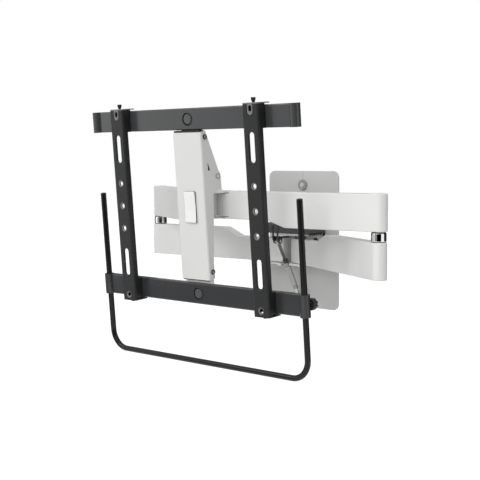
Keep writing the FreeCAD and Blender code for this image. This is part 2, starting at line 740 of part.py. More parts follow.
# Head, in the frame's own coordinates
def column():
    """Folded white column: front, two tapering sides with gussets, top, bottom and a lip behind the foot."""
    front = COLUMN_FRONT
    outline = [
        V(-COLUMN_HALF_W, front, COLUMN_BOTTOM),
        V(-COLUMN_HALF_W, front, COLUMN_TOP),
        V(-COLUMN_HALF_W, front + COLUMN_TOP_DEPTH, COLUMN_TOP + COLUMN_TOP_RISE),
        V(-COLUMN_HALF_W, front + GUSSET_DEPTH, GUSSET_HIGH_UP),
        V(-COLUMN_HALF_W, front + GUSSET_DEPTH, GUSSET_LOW_UP),
        V(-COLUMN_HALF_W, front + COLUMN_STEP_DEPTH, COLUMN_STEP_UP),
        V(-COLUMN_HALF_W, front + COLUMN_LOW_DEPTH, COLUMN_BOTTOM),
    ]
    body = prism(outline, X_AXIS * COLUMN_W)
    body = rounded(
        body, COLUMN_CORNER, lambda e: runs_along(e, Z_AXIS) and e.BoundBox.YMax < front + SEAT_GAP
    )
    room = box(
        -COLUMN_INNER,
        COLUMN_INNER,
        front + COLUMN_T,
        front + 2 * GUSSET_DEPTH,
        COLUMN_BOTTOM + COLUMN_T,
        COLUMN_TOP - COLUMN_T,
    )
    room = rounded(
        room,
        COLUMN_CORNER - COLUMN_T,
        lambda e: runs_along(e, Z_AXIS) and e.BoundBox.YMax < front + COLUMN_T + SEAT_GAP,
    )
    back = front + COLUMN_LOW_DEPTH
    lip = box(
        -COLUMN_HALF_W,
        COLUMN_HALF_W,
        back - COLUMN_T,
        back,
        SEAT_GAP - BAR_LOW,
        COLUMN_BOTTOM + COLUMN_T,
    )
    neck_half_w = BACKBONE_NECK_HALF_W + SEAT_GAP
    neck_way = box(
        -neck_half_w,
        neck_half_w,
        BACKBONE_FRONT - SEAT_GAP,
        BACKBONE_BACK + SEAT_GAP,
        COLUMN_TOP - COLUMN_T,
        BACKBONE_UP,
    )
    body = fuse(body.cut(room), lip).cut(neck_way)
    across = V(-COLUMN_W, 0, 0)
    for up in (SCREW_TOP_UP, SCREW_LOW_UP):
        body = body.cut(rod(across + V(0, SCREW_BACK, up), X_AXIS, 2 * COLUMN_W, SCREW_R + RUN_GAP))
    body = body.cut(rod(across + V(0, PIVOT_BACK, PIVOT_UP), X_AXIS, 2 * COLUMN_W, TILT_BOLT_R + RUN_GAP))
    slit = [
        across + V(0, SLIT_BACK, SLIT_UP),
        across + V(0, SLIT_BACK + SLIT_W, SLIT_UP),
        across + V(0, SLIT_BACK, SLIT_UP + SLIT_L),
    ]
    return body.cut(prism(slit, X_AXIS * (2 * COLUMN_W)))


def column_screws():
    """Side screws that hold the column to the backbone's tabs."""
    screws = []
    for up in (SCREW_TOP_UP, SCREW_LOW_UP):
        start = V(COLUMN_INNER - TAB_T, SCREW_BACK, up)
        shank = rod(start, X_AXIS, COLUMN_T + TAB_T, SCREW_R)
        head = rod(V(COLUMN_HALF_W, SCREW_BACK, up), X_AXIS, SCREW_HEAD_H, SCREW_HEAD_R)
        head = rounded(head, SCREW_HEAD_H * RIM_SHARE, lambda e: e.BoundBox.XMin > COLUMN_HALF_W + SEAT_GAP)
        socket = rod(V(COLUMN_HALF_W + SCREW_HEAD_H / 2, SCREW_BACK, up), X_AXIS, SCREW_HEAD_H, SCREW_R)
        screw = fuse(shank, head).cut(socket)
        screws += [screw, mirrored(screw)]
    return Part.makeCompound(screws)


def badge_tile():
    """Blank raised tile on the column's front with a shallow bowed face."""
    half_w = BADGE_W / 2
    half_h = BADGE_H / 2
    face = COLUMN_FRONT - BADGE_T
    tile = box(-half_w, half_w, face, COLUMN_FRONT, BADGE_UP - half_h, BADGE_UP + half_h)
    tile = rounded(tile, BADGE_CORNER, lambda e: runs_along(e, Y_AXIS))
    bow_r = (half_h * half_h + BADGE_BOW * BADGE_BOW) / (2 * BADGE_BOW)
    hollow = rod(V(-BADGE_W, face + BADGE_BOW - bow_r, BADGE_UP), X_AXIS, 2 * BADGE_W, bow_r)
    return tile.cut(hollow)


def backbone():
    """Plate behind the column and both bars, with four side tabs."""
    wide = COLUMN_INNER - SEAT_GAP
    plate = box(-wide, wide, BACKBONE_FRONT, BACKBONE_BACK, -BACKBONE_WIDE_UP, BACKBONE_WIDE_UP)
    neck = box(
        -BACKBONE_NECK_HALF_W,
        BACKBONE_NECK_HALF_W,
        BACKBONE_FRONT,
        BACKBONE_BACK,
        -BACKBONE_UP,
        BACKBONE_UP,
    )
    neck = rounded(neck, BACKBONE_T, lambda e: runs_along(e, Y_AXIS))
    body = fuse(plate, neck)
    for up in (SCREW_TOP_UP, SCREW_LOW_UP):
        low = max(up - TAB_H / 2, -BACKBONE_WIDE_UP)
        high = min(up + TAB_H / 2, BACKBONE_WIDE_UP)
        for x in (-wide, wide - TAB_T):
            tab = box(x, x + TAB_T, SCREW_BACK - TAB_DEPTH / 2, BACKBONE_FRONT, low, high)
            body = fuse(body, tab)
        body = body.cut(rod(V(-COLUMN_W, SCREW_BACK, up), X_AXIS, 2 * COLUMN_W, SCREW_R + RUN_GAP))
    for x, up in bar_bolt_places():
        body = body.cut(rod(V(x, BACKBONE_FRONT, up), Y_AXIS, BACKBONE_T, BOLT_R + RUN_GAP))
    return body


def bar_bolt_places():
    """Centres of the four bolts that hold the bars to the backbone."""
    return [(x, up) for x in (-BAR_BOLT_X, BAR_BOLT_X) for up in (-BAR_UP, BAR_UP)]


def bar_bolts():
    """Bolts from behind through the backbone to the bars' webs."""
    bolts = []
    web = BAR_FRONT + BAR_T
    for x, up in bar_bolt_places():
        shank = rod(V(x, web, up), Y_AXIS, BACKBONE_BACK - web, BOLT_R)
        head = rod(V(x, BACKBONE_BACK, up), Y_AXIS, BOLT_HEAD_H, BOLT_HEAD_R)
        bolts.append(fuse(shank, head))
    return Part.makeCompound(bolts)


def bar(up):
    """Channel bar with a round sleeve at each end, its front web towards the television."""
    low = up - BAR_H / 2
    high = low + BAR_H
    channel = box(-SLEEVE_X, SLEEVE_X, BAR_FRONT, BAR_BACK, low, high)
    channel = rounded(
        channel, BAR_EDGE, lambda e: runs_along(e, X_AXIS) and e.BoundBox.YMax < BAR_FRONT + SEAT_GAP
    )
    hollow = box(-SLEEVE_X, SLEEVE_X, BAR_FRONT + BAR_T, BAR_BACK, low + BAR_T, high - BAR_T)
    body = channel.cut(hollow)
    for x in (-SLEEVE_X, SLEEVE_X):
        body = fuse(body, rod(V(x, SLEEVE_BACK, low), Z_AXIS, BAR_H, SLEEVE_R))
    for x in (-SLEEVE_X, SLEEVE_X):
        body = body.cut(rod(V(x, SLEEVE_BACK, low), Z_AXIS, BAR_H, TUBE_R + SLIDE_GAP))
        if up < 0:
            body = body.cut(rod(V(x, SLEEVE_BACK, up), Y_AXIS, 2 * SLEEVE_R, KNOB_SHANK_R + SLIDE_GAP))
    return body.cut(rod(V(0, BAR_FRONT, up), Y_AXIS, BAR_T, DISC_STEM_R + RUN_GAP))


def sleeve_plugs():
    """Plugs that close both ends of the upper bar's sleeves, flush with them."""
    stem_r = TUBE_R + SLIDE_GAP - RUN_GAP
    lower = rod(V(SLEEVE_X, SLEEVE_BACK, BAR_LOW), Z_AXIS, SLEEVE_PLUG_L, stem_r)
    upper = lower.mirror(V(0, 0, BAR_UP), Z_AXIS)
    return Part.makeCompound([lower, upper, mirrored(lower), mirrored(upper)])


def disc_caps():
    """Round caps at the middle of both bars."""
    caps = []
    for up in (-BAR_UP, BAR_UP):
        face = BAR_FRONT - DISC_H
        disc = rod(V(0, face, up), Y_AXIS, DISC_H, DISC_R)
        disc = rounded(disc, DISC_H / 2, lambda e: abs(e.BoundBox.YMax - face) < SEAT_GAP)
        stem = rod(V(0, BAR_FRONT, up), Y_AXIS, BAR_T, DISC_STEM_R)
        caps.append(fuse(disc, stem))
    return Part.makeCompound(caps)


# Strips, drawn on the middle line and moved to each side
def upright_slot(low, high, radius, front, depth):
    """Straight slot shape with round ends centred at two heights, or a round hole where they are the same."""
    slot = rod(V(0, front, low), Y_AXIS, depth, radius)
    if high > low:
        middle = box(-radius, radius, front, front + depth, low, high)
        slot = fuse(slot, rod(V(0, front, high), Y_AXIS, depth, radius), middle)
    return slot


def dished(body, low, high, radius, dish_r, depth):
    """Strip with a hole or slot sunk in a shallow dish; its round ends are centred at two heights."""
    body = fuse(body, upright_slot(low, high, dish_r + STRIP_T, STRIP_T / 2, depth + STRIP_T / 2))
    neck = radius + STRIP_T / 2
    dish = Part.makeCone(dish_r, neck, depth, V(0, 0, low), Y_AXIS)
    if high > low:
        section = [
            V(-dish_r, 0, low),
            V(dish_r, 0, low),
            V(neck, depth, low),
            V(-neck, depth, low),
        ]
        end = Part.makeCone(dish_r, neck, depth, V(0, 0, high), Y_AXIS)
        dish = fuse(dish, end, prism(section, Z_AXIS * (high - low)))
    return body.cut(dish).cut(upright_slot(low, high, radius, 0, STRIP_DEPTH))


def strip():
    """Channel strip with dished holes, long slots, tabs towards the bars and a notch for the hook's tongue."""
    half_w = STRIP_W / 2
    body = box(-half_w, half_w, 0, STRIP_DEPTH, -STRIP_UP, STRIP_UP)
    body = rounded(body, STRIP_CORNER, lambda e: runs_along(e, Z_AXIS) and e.BoundBox.YMax < SEAT_GAP)
    room = box(STRIP_T - half_w, half_w - STRIP_T, STRIP_T, STRIP_DEPTH, -STRIP_UP, STRIP_UP)
    room = rounded(
        room,
        STRIP_CORNER - STRIP_T,
        lambda e: runs_along(e, Z_AXIS) and e.BoundBox.YMax < STRIP_T + SEAT_GAP,
    )
    body = body.cut(room)
    for x in (-half_w, half_w - STRIP_T):
        for low in (-BAR_TOP, BAR_LOW):
            tab = box(x, x + STRIP_T, STRIP_DEPTH, STRIP_TAB_DEPTH, low, low + BAR_H)
            body = fuse(body, tab)
    for up in (-HOLE_PITCH, 0.0, HOLE_PITCH, FOOT_HOLE_UP):
        body = dished(body, up, up, HOLE_R, DIMPLE_R, DIMPLE_DEPTH)
    inner = SLOT_FROM + SLOT_R
    outer = SLOT_TO - SLOT_R
    for low, high in ((inner, outer), (-outer, -inner)):
        body = dished(body, low, high, SLOT_R, SLOT_DISH_R, SLOT_DISH_DEPTH)
    notch_up = STRIP_UP - TONGUE_L + TONGUE_HALF_W
    notch = upright_slot(notch_up, 2 * STRIP_UP, TONGUE_HALF_W + TONGUE_GAP, 0, STRIP_T)
    return body.cut(notch)


def strip_hook():
    """Top hook: plate over the bar, a lip behind it and a tongue with an eye in the strip's notch."""
    half_w = STRIP_W / 2
    back = BAR_BACK + SEAT_GAP
    plate = box(-half_w, half_w, 0, back + HOOK_T, STRIP_UP, STRIP_UP + HOOK_T)
    plate = rounded(plate, STRIP_CORNER, lambda e: runs_along(e, Z_AXIS) and e.BoundBox.YMax < SEAT_GAP)
    lip = box(-HOOK_LIP_HALF_W, HOOK_LIP_HALF_W, back, back + HOOK_T, BAR_TOP - HOOK_LIP, STRIP_UP)
    tongue = upright_slot(STRIP_UP - TONGUE_L + TONGUE_HALF_W, STRIP_UP, TONGUE_HALF_W, 0, HOOK_T)
    tongue = tongue.cut(box(-half_w, half_w, 0, HOOK_T, STRIP_UP, STRIP_UP + STRIP_W))
    body = fuse(plate, lip, tongue)
    eye_low = STRIP_UP - TONGUE_EYE_TO + TONGUE_EYE_R
    eye_high = STRIP_UP - TONGUE_EYE_FROM - TONGUE_EYE_R
    body = body.cut(upright_slot(eye_low, eye_high, TONGUE_EYE_R, 0, HOOK_T))
    return body.cut(rod(V(0, THUMB_BACK, STRIP_UP), Z_AXIS, HOOK_T, THUMB_SHANK_R + SLIDE_GAP))


def strip_clip():
    """Bottom clip: plate under the lower bar with a lip behind it."""
    half_w = STRIP_W / 2
    back = BAR_BACK + SEAT_GAP
    plate = box(-half_w, half_w, 0, back + HOOK_T, -STRIP_UP - HOOK_T, -STRIP_UP)
    plate = rounded(plate, STRIP_CORNER, lambda e: runs_along(e, Z_AXIS) and e.BoundBox.YMax < SEAT_GAP)
    lip = box(-HOOK_LIP_HALF_W, HOOK_LIP_HALF_W, back, back + HOOK_T, -STRIP_UP, HOOK_LIP - BAR_TOP)
    hole = rod(V(0, THUMB_BACK, -STRIP_UP - HOOK_T), Z_AXIS, HOOK_T, THUMB_SHANK_R + RUN_GAP)
    return fuse(plate, lip).cut(hole)


def thumb_screw():
    """Knurled screw on top of the hook, with a tapering foot."""
    seat = STRIP_UP + HOOK_T + SEAT_GAP
    top = seat + THUMB_FOOT_H + THUMB_H
    shank = rod(V(0, THUMB_BACK, seat - THUMB_SHANK_L), Z_AXIS, THUMB_SHANK_L, THUMB_SHANK_R)
    foot = Part.makeCone(THUMB_FOOT_R, THUMB_R, THUMB_FOOT_H, V(0, THUMB_BACK, seat), Z_AXIS)
    head = rod(V(0, THUMB_BACK, seat + THUMB_FOOT_H), Z_AXIS, THUMB_H, THUMB_R)
    head = rounded(head, SEAT_GAP, lambda e: e.BoundBox.ZMin > top - SEAT_GAP)
    return fuse(shank, foot, head)


def clip_screw():
    """Screw that holds the bottom clip."""
    seat = -STRIP_UP - HOOK_T
    shank = rod(V(0, THUMB_BACK, seat), Z_AXIS, THUMB_SHANK_L, THUMB_SHANK_R)
    head = rod(V(0, THUMB_BACK, seat - CLIP_SCREW_H), Z_AXIS, CLIP_SCREW_H, CLIP_SCREW_R)
    head = rounded(head, CLIP_SCREW_H * RIM_SHARE, lambda e: e.BoundBox.ZMax < seat - SEAT_GAP)
    return fuse(shank, head)


def on_strip(shape, side):
    """Strip piece moved to the left or right strip's place."""
    x = STRIP_X if side == "right" else -STRIP_X
    return on_head(placed(shape, FreeCAD.Placement(V(x, 0, 0), FreeCAD.Rotation())))


# Handle
def handle_path():
    """Centre line of the handle: two legs, a run and two round corners."""
    reach = SLEEVE_X - HANDLE_BEND_R
    bend_up = HANDLE_RUN_UP + HANDLE_BEND_R
    chord = HANDLE_BEND_R * math.sqrt(0.5)

    def at(x, up):
        return V(x, SLEEVE_BACK, up)

    left = Part.Arc(at(-SLEEVE_X, bend_up), at(-reach - chord, bend_up - chord), at(-reach, HANDLE_RUN_UP))
    right = Part.Arc(at(reach, HANDLE_RUN_UP), at(reach + chord, bend_up - chord), at(SLEEVE_X, bend_up))
    edges = [
        Part.LineSegment(at(-SLEEVE_X, HANDLE_TOP_UP), at(-SLEEVE_X, bend_up)).toShape(),
        left.toShape(),
        Part.LineSegment(at(-reach, HANDLE_RUN_UP), at(reach, HANDLE_RUN_UP)).toShape(),
        right.toShape(),
        Part.LineSegment(at(SLEEVE_X, bend_up), at(SLEEVE_X, HANDLE_TOP_UP)).toShape(),
    ]
    return Part.Wire(edges)


def swept(radius):
    """Round section swept along the handle's path."""
    centre = V(-SLEEVE_X, SLEEVE_BACK, HANDLE_TOP_UP)
    section = Part.Wire(Part.makeCircle(radius, centre, Z_AXIS))
    return handle_path().makePipeShell([section], True, False)


def handle_tube():
    """Bent round tube."""
    return swept(TUBE_R).cut(swept(TUBE_R - TUBE_WALL))


def handle_plugs():
    """Domed plugs in the tube's two ends."""
    stem_r = TUBE_R - TUBE_WALL - RUN_GAP
    stem = rod(V(SLEEVE_X, SLEEVE_BACK, HANDLE_TOP_UP - PLUG_L), Z_AXIS, PLUG_L, stem_r)
    dome = rod(V(SLEEVE_X, SLEEVE_BACK, HANDLE_TOP_UP), Z_AXIS, PLUG_DOME, TUBE_R)
    dome = rounded(dome, PLUG_DOME * DOME_SHARE, lambda e: e.BoundBox.ZMin > HANDLE_TOP_UP + SEAT_GAP)
    return on_head(both_sides(fuse(stem, dome)))


def clamp_knob(side):
    """Lobed knob behind the lower bar's sleeve, its shank against the tube."""
    x = SLEEVE_X if side == "right" else -SLEEVE_X
    tip = SLEEVE_BACK + TUBE_R + SLIDE_GAP
    seat = SLEEVE_BACK + SLEEVE_R + SEAT_GAP
    shank = rod(V(x, tip, -BAR_UP), Y_AXIS, seat - tip, KNOB_SHANK_R)
    neck = rod(V(x, seat, -BAR_UP), Y_AXIS, KNOB_NECK_L, KNOB_NECK_R)
    start = V(x, seat + KNOB_NECK_L, -BAR_UP)
    head = rod(start, Y_AXIS, KNOB_L, KNOB_R)
    head = rounded(head, KNOB_NECK_L / 2, lambda e: not runs_along(e, Y_AXIS))
    for lobe in range(KNOB_LOBES):
        turn = 2 * math.pi * lobe / KNOB_LOBES
        out = V(math.cos(turn), 0, math.sin(turn)) * (KNOB_R + KNOB_LOBE_R / 2)
        head = head.cut(rod(start + out, Y_AXIS, KNOB_L, KNOB_LOBE_R))
    return on_head(fuse(shank, neck, head))


def build():
    """All nodes by name."""
    nodes = {
        "wall_plate": wall_plate(),
        "screw_cover": screw_cover(),
        "wall_bracket": wall_bracket(),
        "bracket_bolts": bracket_bolts(),
        "wall_pins": wall_pins(),
        "bracket_hood": bracket_hood(),
        "strut_foot": strut_foot(),
        "strut_clevis": strut_clevis(),
        "strut_pins": strut_pins(),
        "strut_lower_eye": strut_lower_eye(),
        "strut_barrel": strut_barrel(),
        "strut_lock_nut": strut_lock_nut(),
        "strut_rod": strut_rod(),
        "carriage": carriage(),
        "carriage_pins": carriage_pins(),
        "tilt_bolts": tilt_bolts(),
        "column": on_head(column()),
        "column_screws": on_head(column_screws()),
        "badge_tile": on_head(badge_tile()),
        "backbone": on_head(backbone()),
        "bar_bolts": on_head(bar_bolts()),
        "top_bar": on_head(bar(BAR_UP)),
        "bottom_bar": on_head(bar(-BAR_UP)),
        "sleeve_plugs": on_head(sleeve_plugs()),
        "disc_caps": on_head(disc_caps()),
        "handle_tube": on_head(handle_tube()),
        "handle_plugs": handle_plugs(),
    }
    for side in ("right", "left"):
        lower_deg = REST_STEEP_DEG if side == "right" else REST_FLAT_DEG
        upper_deg = REST_FLAT_DEG if side == "right" else REST_STEEP_DEG
        for level, upper, angle in (("lower", False, lower_deg), ("upper", True, upper_deg)):
            for piece, make in (("beam", arm_beam), ("cover", arm_cover), ("bushes", arm_bushes)):
                nodes[f"{side}_{level}_{piece}"] = arm_on_side(make(upper), side, upper, angle)
        nodes[f"{side}_elbow_pin"] = arm_on_side(elbow_pin(), side, False, lower_deg)
        nodes[f"{side}_elbow_ring"] = arm_on_side(elbow_ring(), side, False, lower_deg)
        nodes[f"{side}_elbow_cap"] = arm_on_side(elbow_cap(), side, True, upper_deg)
        nodes[f"{side}_strip"] = on_strip(strip(), side)
        nodes[f"{side}_hook"] = on_strip(strip_hook(), side)
        nodes[f"{side}_clip"] = on_strip(strip_clip(), side)
        nodes[f"{side}_thumb_screw"] = on_strip(thumb_screw(), side)
        nodes[f"{side}_clip_screw"] = on_strip(clip_screw(), side)
        nodes[f"{side}_clamp_knob"] = clamp_knob(side)
    return nodes


os.makedirs("parts", exist_ok=True)
for name, shape in build().items():
    shape.exportStep(f"parts/{name}.step")
    print(f"{name}: {len(shape.Solids)} solids, {shape.Volume:.0f} mm3, valid {shape.isValid()}")
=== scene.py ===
"""Looks of a full-motion television wall mount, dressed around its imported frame.

All lengths are metres. X is right, Y goes into the wall and Z is up.
"""

from __future__ import annotations

import json
import logging
import math
from dataclasses import dataclass
from enum import Enum, IntEnum
from functools import cached_property
from typing import Iterable

import bmesh
import bpy
from mathutils import Matrix, Vector

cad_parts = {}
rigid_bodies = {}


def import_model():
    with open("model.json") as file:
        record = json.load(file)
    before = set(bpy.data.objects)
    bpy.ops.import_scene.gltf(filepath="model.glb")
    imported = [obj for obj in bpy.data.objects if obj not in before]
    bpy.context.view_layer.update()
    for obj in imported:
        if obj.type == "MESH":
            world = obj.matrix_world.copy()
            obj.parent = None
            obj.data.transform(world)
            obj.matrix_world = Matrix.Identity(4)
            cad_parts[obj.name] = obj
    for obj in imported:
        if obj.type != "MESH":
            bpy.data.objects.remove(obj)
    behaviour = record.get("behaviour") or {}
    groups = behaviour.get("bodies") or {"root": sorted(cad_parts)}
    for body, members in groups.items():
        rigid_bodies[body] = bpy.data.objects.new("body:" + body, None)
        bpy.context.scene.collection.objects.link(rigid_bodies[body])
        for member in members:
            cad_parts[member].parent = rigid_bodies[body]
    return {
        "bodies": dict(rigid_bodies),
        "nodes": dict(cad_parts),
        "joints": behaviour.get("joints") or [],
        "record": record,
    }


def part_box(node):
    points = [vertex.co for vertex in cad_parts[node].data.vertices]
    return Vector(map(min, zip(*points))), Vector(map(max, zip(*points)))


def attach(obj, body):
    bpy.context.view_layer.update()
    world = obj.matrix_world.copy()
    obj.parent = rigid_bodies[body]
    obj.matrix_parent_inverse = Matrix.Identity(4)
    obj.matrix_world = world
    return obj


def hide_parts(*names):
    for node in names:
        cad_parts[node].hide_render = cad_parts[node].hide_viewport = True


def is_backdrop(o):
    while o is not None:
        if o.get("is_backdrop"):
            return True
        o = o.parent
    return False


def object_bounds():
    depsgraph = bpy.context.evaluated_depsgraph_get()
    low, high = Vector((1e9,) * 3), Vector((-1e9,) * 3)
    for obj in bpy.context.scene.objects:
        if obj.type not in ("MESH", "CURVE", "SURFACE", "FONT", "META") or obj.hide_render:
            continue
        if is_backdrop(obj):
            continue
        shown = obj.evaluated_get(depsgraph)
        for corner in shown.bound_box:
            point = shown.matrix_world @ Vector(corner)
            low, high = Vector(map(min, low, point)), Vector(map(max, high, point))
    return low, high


Profile = list[tuple[float, float]]
Triple = tuple[float, float, float]
Shape = bmesh.types.BMesh
Socket = bpy.types.NodeSocket
Material = bpy.types.Material

LOG = logging.getLogger("tv_wall_mount")
MM = 0.001
SIDES = ("right", "left")
SHARP_DEG = 32.0
HEX_SIDES = 6
SIDEWAYS = 0.5
UPRIGHT = 0.1
WELD = 1e-6
RIGHT = Vector((1.0, 0.0, 0.0))
BACK = Vector((0.0, 1.0, 0.0))
UPWARD = Vector((0.0, 0.0, 1.0))
BLACK = (0.0, 0.0, 0.0)
WHITE = (1.0, 1.0, 1.0)
NOISE_ENDS = (0.3, 0.7)
RAY_ENDS = (0.0, 1.0)
SMOOTHEST = 0.02


class Slot(Enum):
    """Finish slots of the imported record."""

    WHITE_PAINT = "white_paint"
    PLATE_PAINT = "plate_paint"
    BAR_PAINT = "bar_paint"
    STRIP_PAINT = "strip_paint"
    HOOK_PAINT = "hook_paint"
    TUBE_PAINT = "tube_paint"
    BRIGHT_RING = "bright_ring"
    ZINC_STEEL = "zinc_steel"
    BLACK_SCREW = "black_screw"
    BLACK_PLASTIC = "black_plastic"
    WHITE_PLASTIC = "white_plastic"
    GREY_PLASTIC = "grey_plastic"
    BUSH_PLASTIC = "bush_plastic"


class Facets(IntEnum):
    """Facets round a turned piece."""

    SMALL = 32
    PLAIN = 48
    FINE = 64
    MIRROR = 96


# Finishes
class NodeSheet:
    """The node tree of a material or world, with short calls for the nodes that are used here."""

    def __init__(self, owner: Material | bpy.types.World, shader: str = "Principled BSDF") -> None:
        """Start from the one shader that a new tree holds.

        Args:
            owner: Material or world.
            shader: Name of its shader node.
        """
        owner.use_nodes = True
        self.owner = owner
        self.nodes = owner.node_tree.nodes
        self.links = owner.node_tree.links
        self.shader = self.nodes[shader]

    @cached_property
    def place(self) -> Socket:
        """The object's own coordinates."""
        return self.nodes.new("ShaderNodeTexCoord").outputs["Object"]

    def fill(self, node: bpy.types.Node, **values: float | Triple | Socket) -> None:
        """Set or link a node's inputs, with _ for a space in an input's name.

        Args:
            node: The node.
            values: For each input a plain value, or another node's output.
        """
        for name, value in values.items():
            entry = node.inputs[name.replace("_", " ")]
            if isinstance(value, bpy.types.NodeSocket):
                self.links.new(value, entry)
            else:
                entry.default_value = (*value, 1.0) if entry.type == "RGBA" else value

    def set(self, **values: float | Triple | Socket) -> None:
        """Fill the shader's own inputs."""
        self.fill(self.shader, **values)

    def new(self, kind: str, **values: float | Triple | Socket) -> bpy.types.Node:
        """Add a node and fill its inputs.

        Args:
            kind: Type of the node, without its prefix.
            values: Its inputs.

        Returns:
            The node.
        """
        node = self.nodes.new(f"ShaderNode{kind}")
        self.fill(node, **values)
        return node

    def noise(self, scale: float, detail: float) -> Socket:
        """Noise on the object's own coordinates, with a scale in waves per metre."""
        return self.new("TexNoise", Vector=self.place, Scale=scale, Detail=detail).outputs["Fac"]

    def spread(
        self, factor: Socket, low: float, high: float, ends: tuple[float, float] = NOISE_ENDS
    ) -> Socket:
        """Map a factor to a range.

        Args:
            factor: The factor.
            low: Value at its low end.
            high: Value at its high end.
            ends: The factor's two ends.

        Returns:
            The mapped value.
        """
        start, end = ends
        node = self.new("MapRange", Value=factor, From_Min=start, From_Max=end, To_Min=low, To_Max=high)
        return node.outputs["Result"]

    def tint(self, factor: Socket, color: Triple, share: float) -> None:
        """Vary the base colour about its value.

        Args:
            factor: Noise factor.
            color: Middle colour.
            share: Half-width of the variation as a share of the colour.
        """
        ramp = self.new("ValToRGB", Fac=factor)
        for element, position, sign in zip(ramp.color_ramp.elements, NOISE_ENDS, (-1, 1)):
            element.position = position
            element.color = (*(min(c * (1 + sign * share), 1.0) for c in color), 1.0)
        self.set(Base_Color=ramp.outputs["Color"])

    def bump(self, height: Socket, strength: float, depth: float) -> None:
        """Raise the surface by a pattern of a strength and depth."""
        node = self.new("Bump", Height=height, Strength=strength, Distance=depth)
        self.set(Normal=node.outputs["Normal"])

    def rays(self, *kinds: str) -> Socket:
        """Tell some kinds of rays from the others.

        Args:
            kinds: Outputs of the light path.

        Returns:
            One for a ray of any of these kinds, and otherwise zero.
        """
        outputs = self.new("LightPath").outputs
        seen = outputs[kinds[0]]
        for kind in kinds[1:]:
            node = self.new("Math")
            node.operation = "MAXIMUM"
            self.links.new(seen, node.inputs[0])
            self.links.new(outputs[kind], node.inputs[1])
            seen = node.outputs["Value"]
        return seen


@dataclass(frozen=True)
class Surface:
    """A finish: cloudy colour, uneven gloss and fine grain, each from a noise of its own scale."""

    color: Triple
    rough: float
    metal: float = 0.0
    gloss: float = 0.5
    cloud: float = 0.015
    cloud_scale: float = 14.0
    cloud_detail: float = 3.0
    rough_play: float = 0.04
    rough_scale: float = 60.0
    rough_detail: float = 2.0
    grain: float = 0.25
    grain_scale: float = 1100.0
    grain_detail: float = 2.0
    grain_depth: float = 0.05 * MM

    def material(self, name: str) -> Material:
        """Make the node material.

        Args:
            name: Name of the material.

        Returns:
            The material.
        """
        sheet = NodeSheet(bpy.data.materials.new(name))
        sheet.set(Metallic=self.metal, Specular_IOR_Level=self.gloss)
        sheet.tint(sheet.noise(self.cloud_scale, self.cloud_detail), self.color, self.cloud)
        low, high = max(self.rough - self.rough_play, SMOOTHEST), self.rough + self.rough_play
        sheet.set(Roughness=sheet.spread(sheet.noise(self.rough_scale, self.rough_detail), low, high))
        sheet.bump(sheet.noise(self.grain_scale, self.grain_detail), self.grain, self.grain_depth)
        return sheet.owner


@dataclass(frozen=True)
class PowderCoat(Surface):
    """Baked powder paint: faint cloudy colour and a fine orange-peel surface."""


@dataclass(frozen=True)
class Moulding(Surface):
    """Injection-moulded plastic: even colour with a fine spark-eroded grain."""

    gloss: float = 0.45
    cloud: float = 0.02
    cloud_scale: float = 30.0
    cloud_detail: float = 2.0
    rough_play: float = 0.05
    rough_scale: float = 90.0
    grain: float = 0.3
    grain_scale: float = 2600.0
    grain_detail: float = 1.0
    grain_depth: float = 0.04 * MM


@dataclass(frozen=True)
class PlatedSteel(Surface):
    """Plated or polished steel: metal whose fine marks show in its gloss and relief."""

    metal: float = 1.0
    cloud: float = 0.04
    cloud_scale: float = 80.0
    rough_play: float = 0.05
    rough_scale: float = 700.0
    rough_detail: float = 3.0
    grain: float = 0.12
    grain_scale: float = 700.0
    grain_detail: float = 3.0
    grain_depth: float = 0.02 * MM


FINISHES: dict[Slot, Surface] = {
    Slot.WHITE_PAINT: PowderCoat((0.80, 0.80, 0.79), 0.42, rough_play=0.015),
    Slot.PLATE_PAINT: PowderCoat((0.62, 0.62, 0.61), 0.46, rough_play=0.015),
    Slot.BAR_PAINT: PowderCoat((0.044, 0.045, 0.047), 0.27, cloud=0.05, rough_play=0.03),
    Slot.STRIP_PAINT: PowderCoat((0.014, 0.0145, 0.015), 0.42, gloss=0.35, cloud=0.06, grain=0.4),
    Slot.HOOK_PAINT: PowderCoat((0.16, 0.16, 0.165), 0.42, cloud=0.05),
    Slot.TUBE_PAINT: PowderCoat((0.008, 0.008, 0.009), 0.18, gloss=0.25, cloud=0.06),
    Slot.BRIGHT_RING: PlatedSteel((0.80, 0.80, 0.81), 0.06, rough_play=0.02, cloud=0.02, grain=0.03),
    Slot.ZINC_STEEL: PlatedSteel((0.44, 0.44, 0.43), 0.24),
    Slot.BLACK_SCREW: PowderCoat((0.020, 0.020, 0.021), 0.36, cloud=0.08),
    Slot.BLACK_PLASTIC: Moulding((0.014, 0.014, 0.015), 0.48),
    Slot.WHITE_PLASTIC: Moulding((0.83, 0.83, 0.83), 0.30, grain=0.1),
    Slot.GREY_PLASTIC: Moulding((0.33, 0.33, 0.325), 0.36, grain=0.12),
    Slot.BUSH_PLASTIC: Moulding((0.10, 0.10, 0.10), 0.45),
}
# Near-black matte finish for painted shade: dark sheets that stand for shade in the caps' dishes and the
# column's slits.
PAINTED_SHADE_BLACK = Moulding((0.004, 0.004, 0.004), 0.80, gloss=0.1)
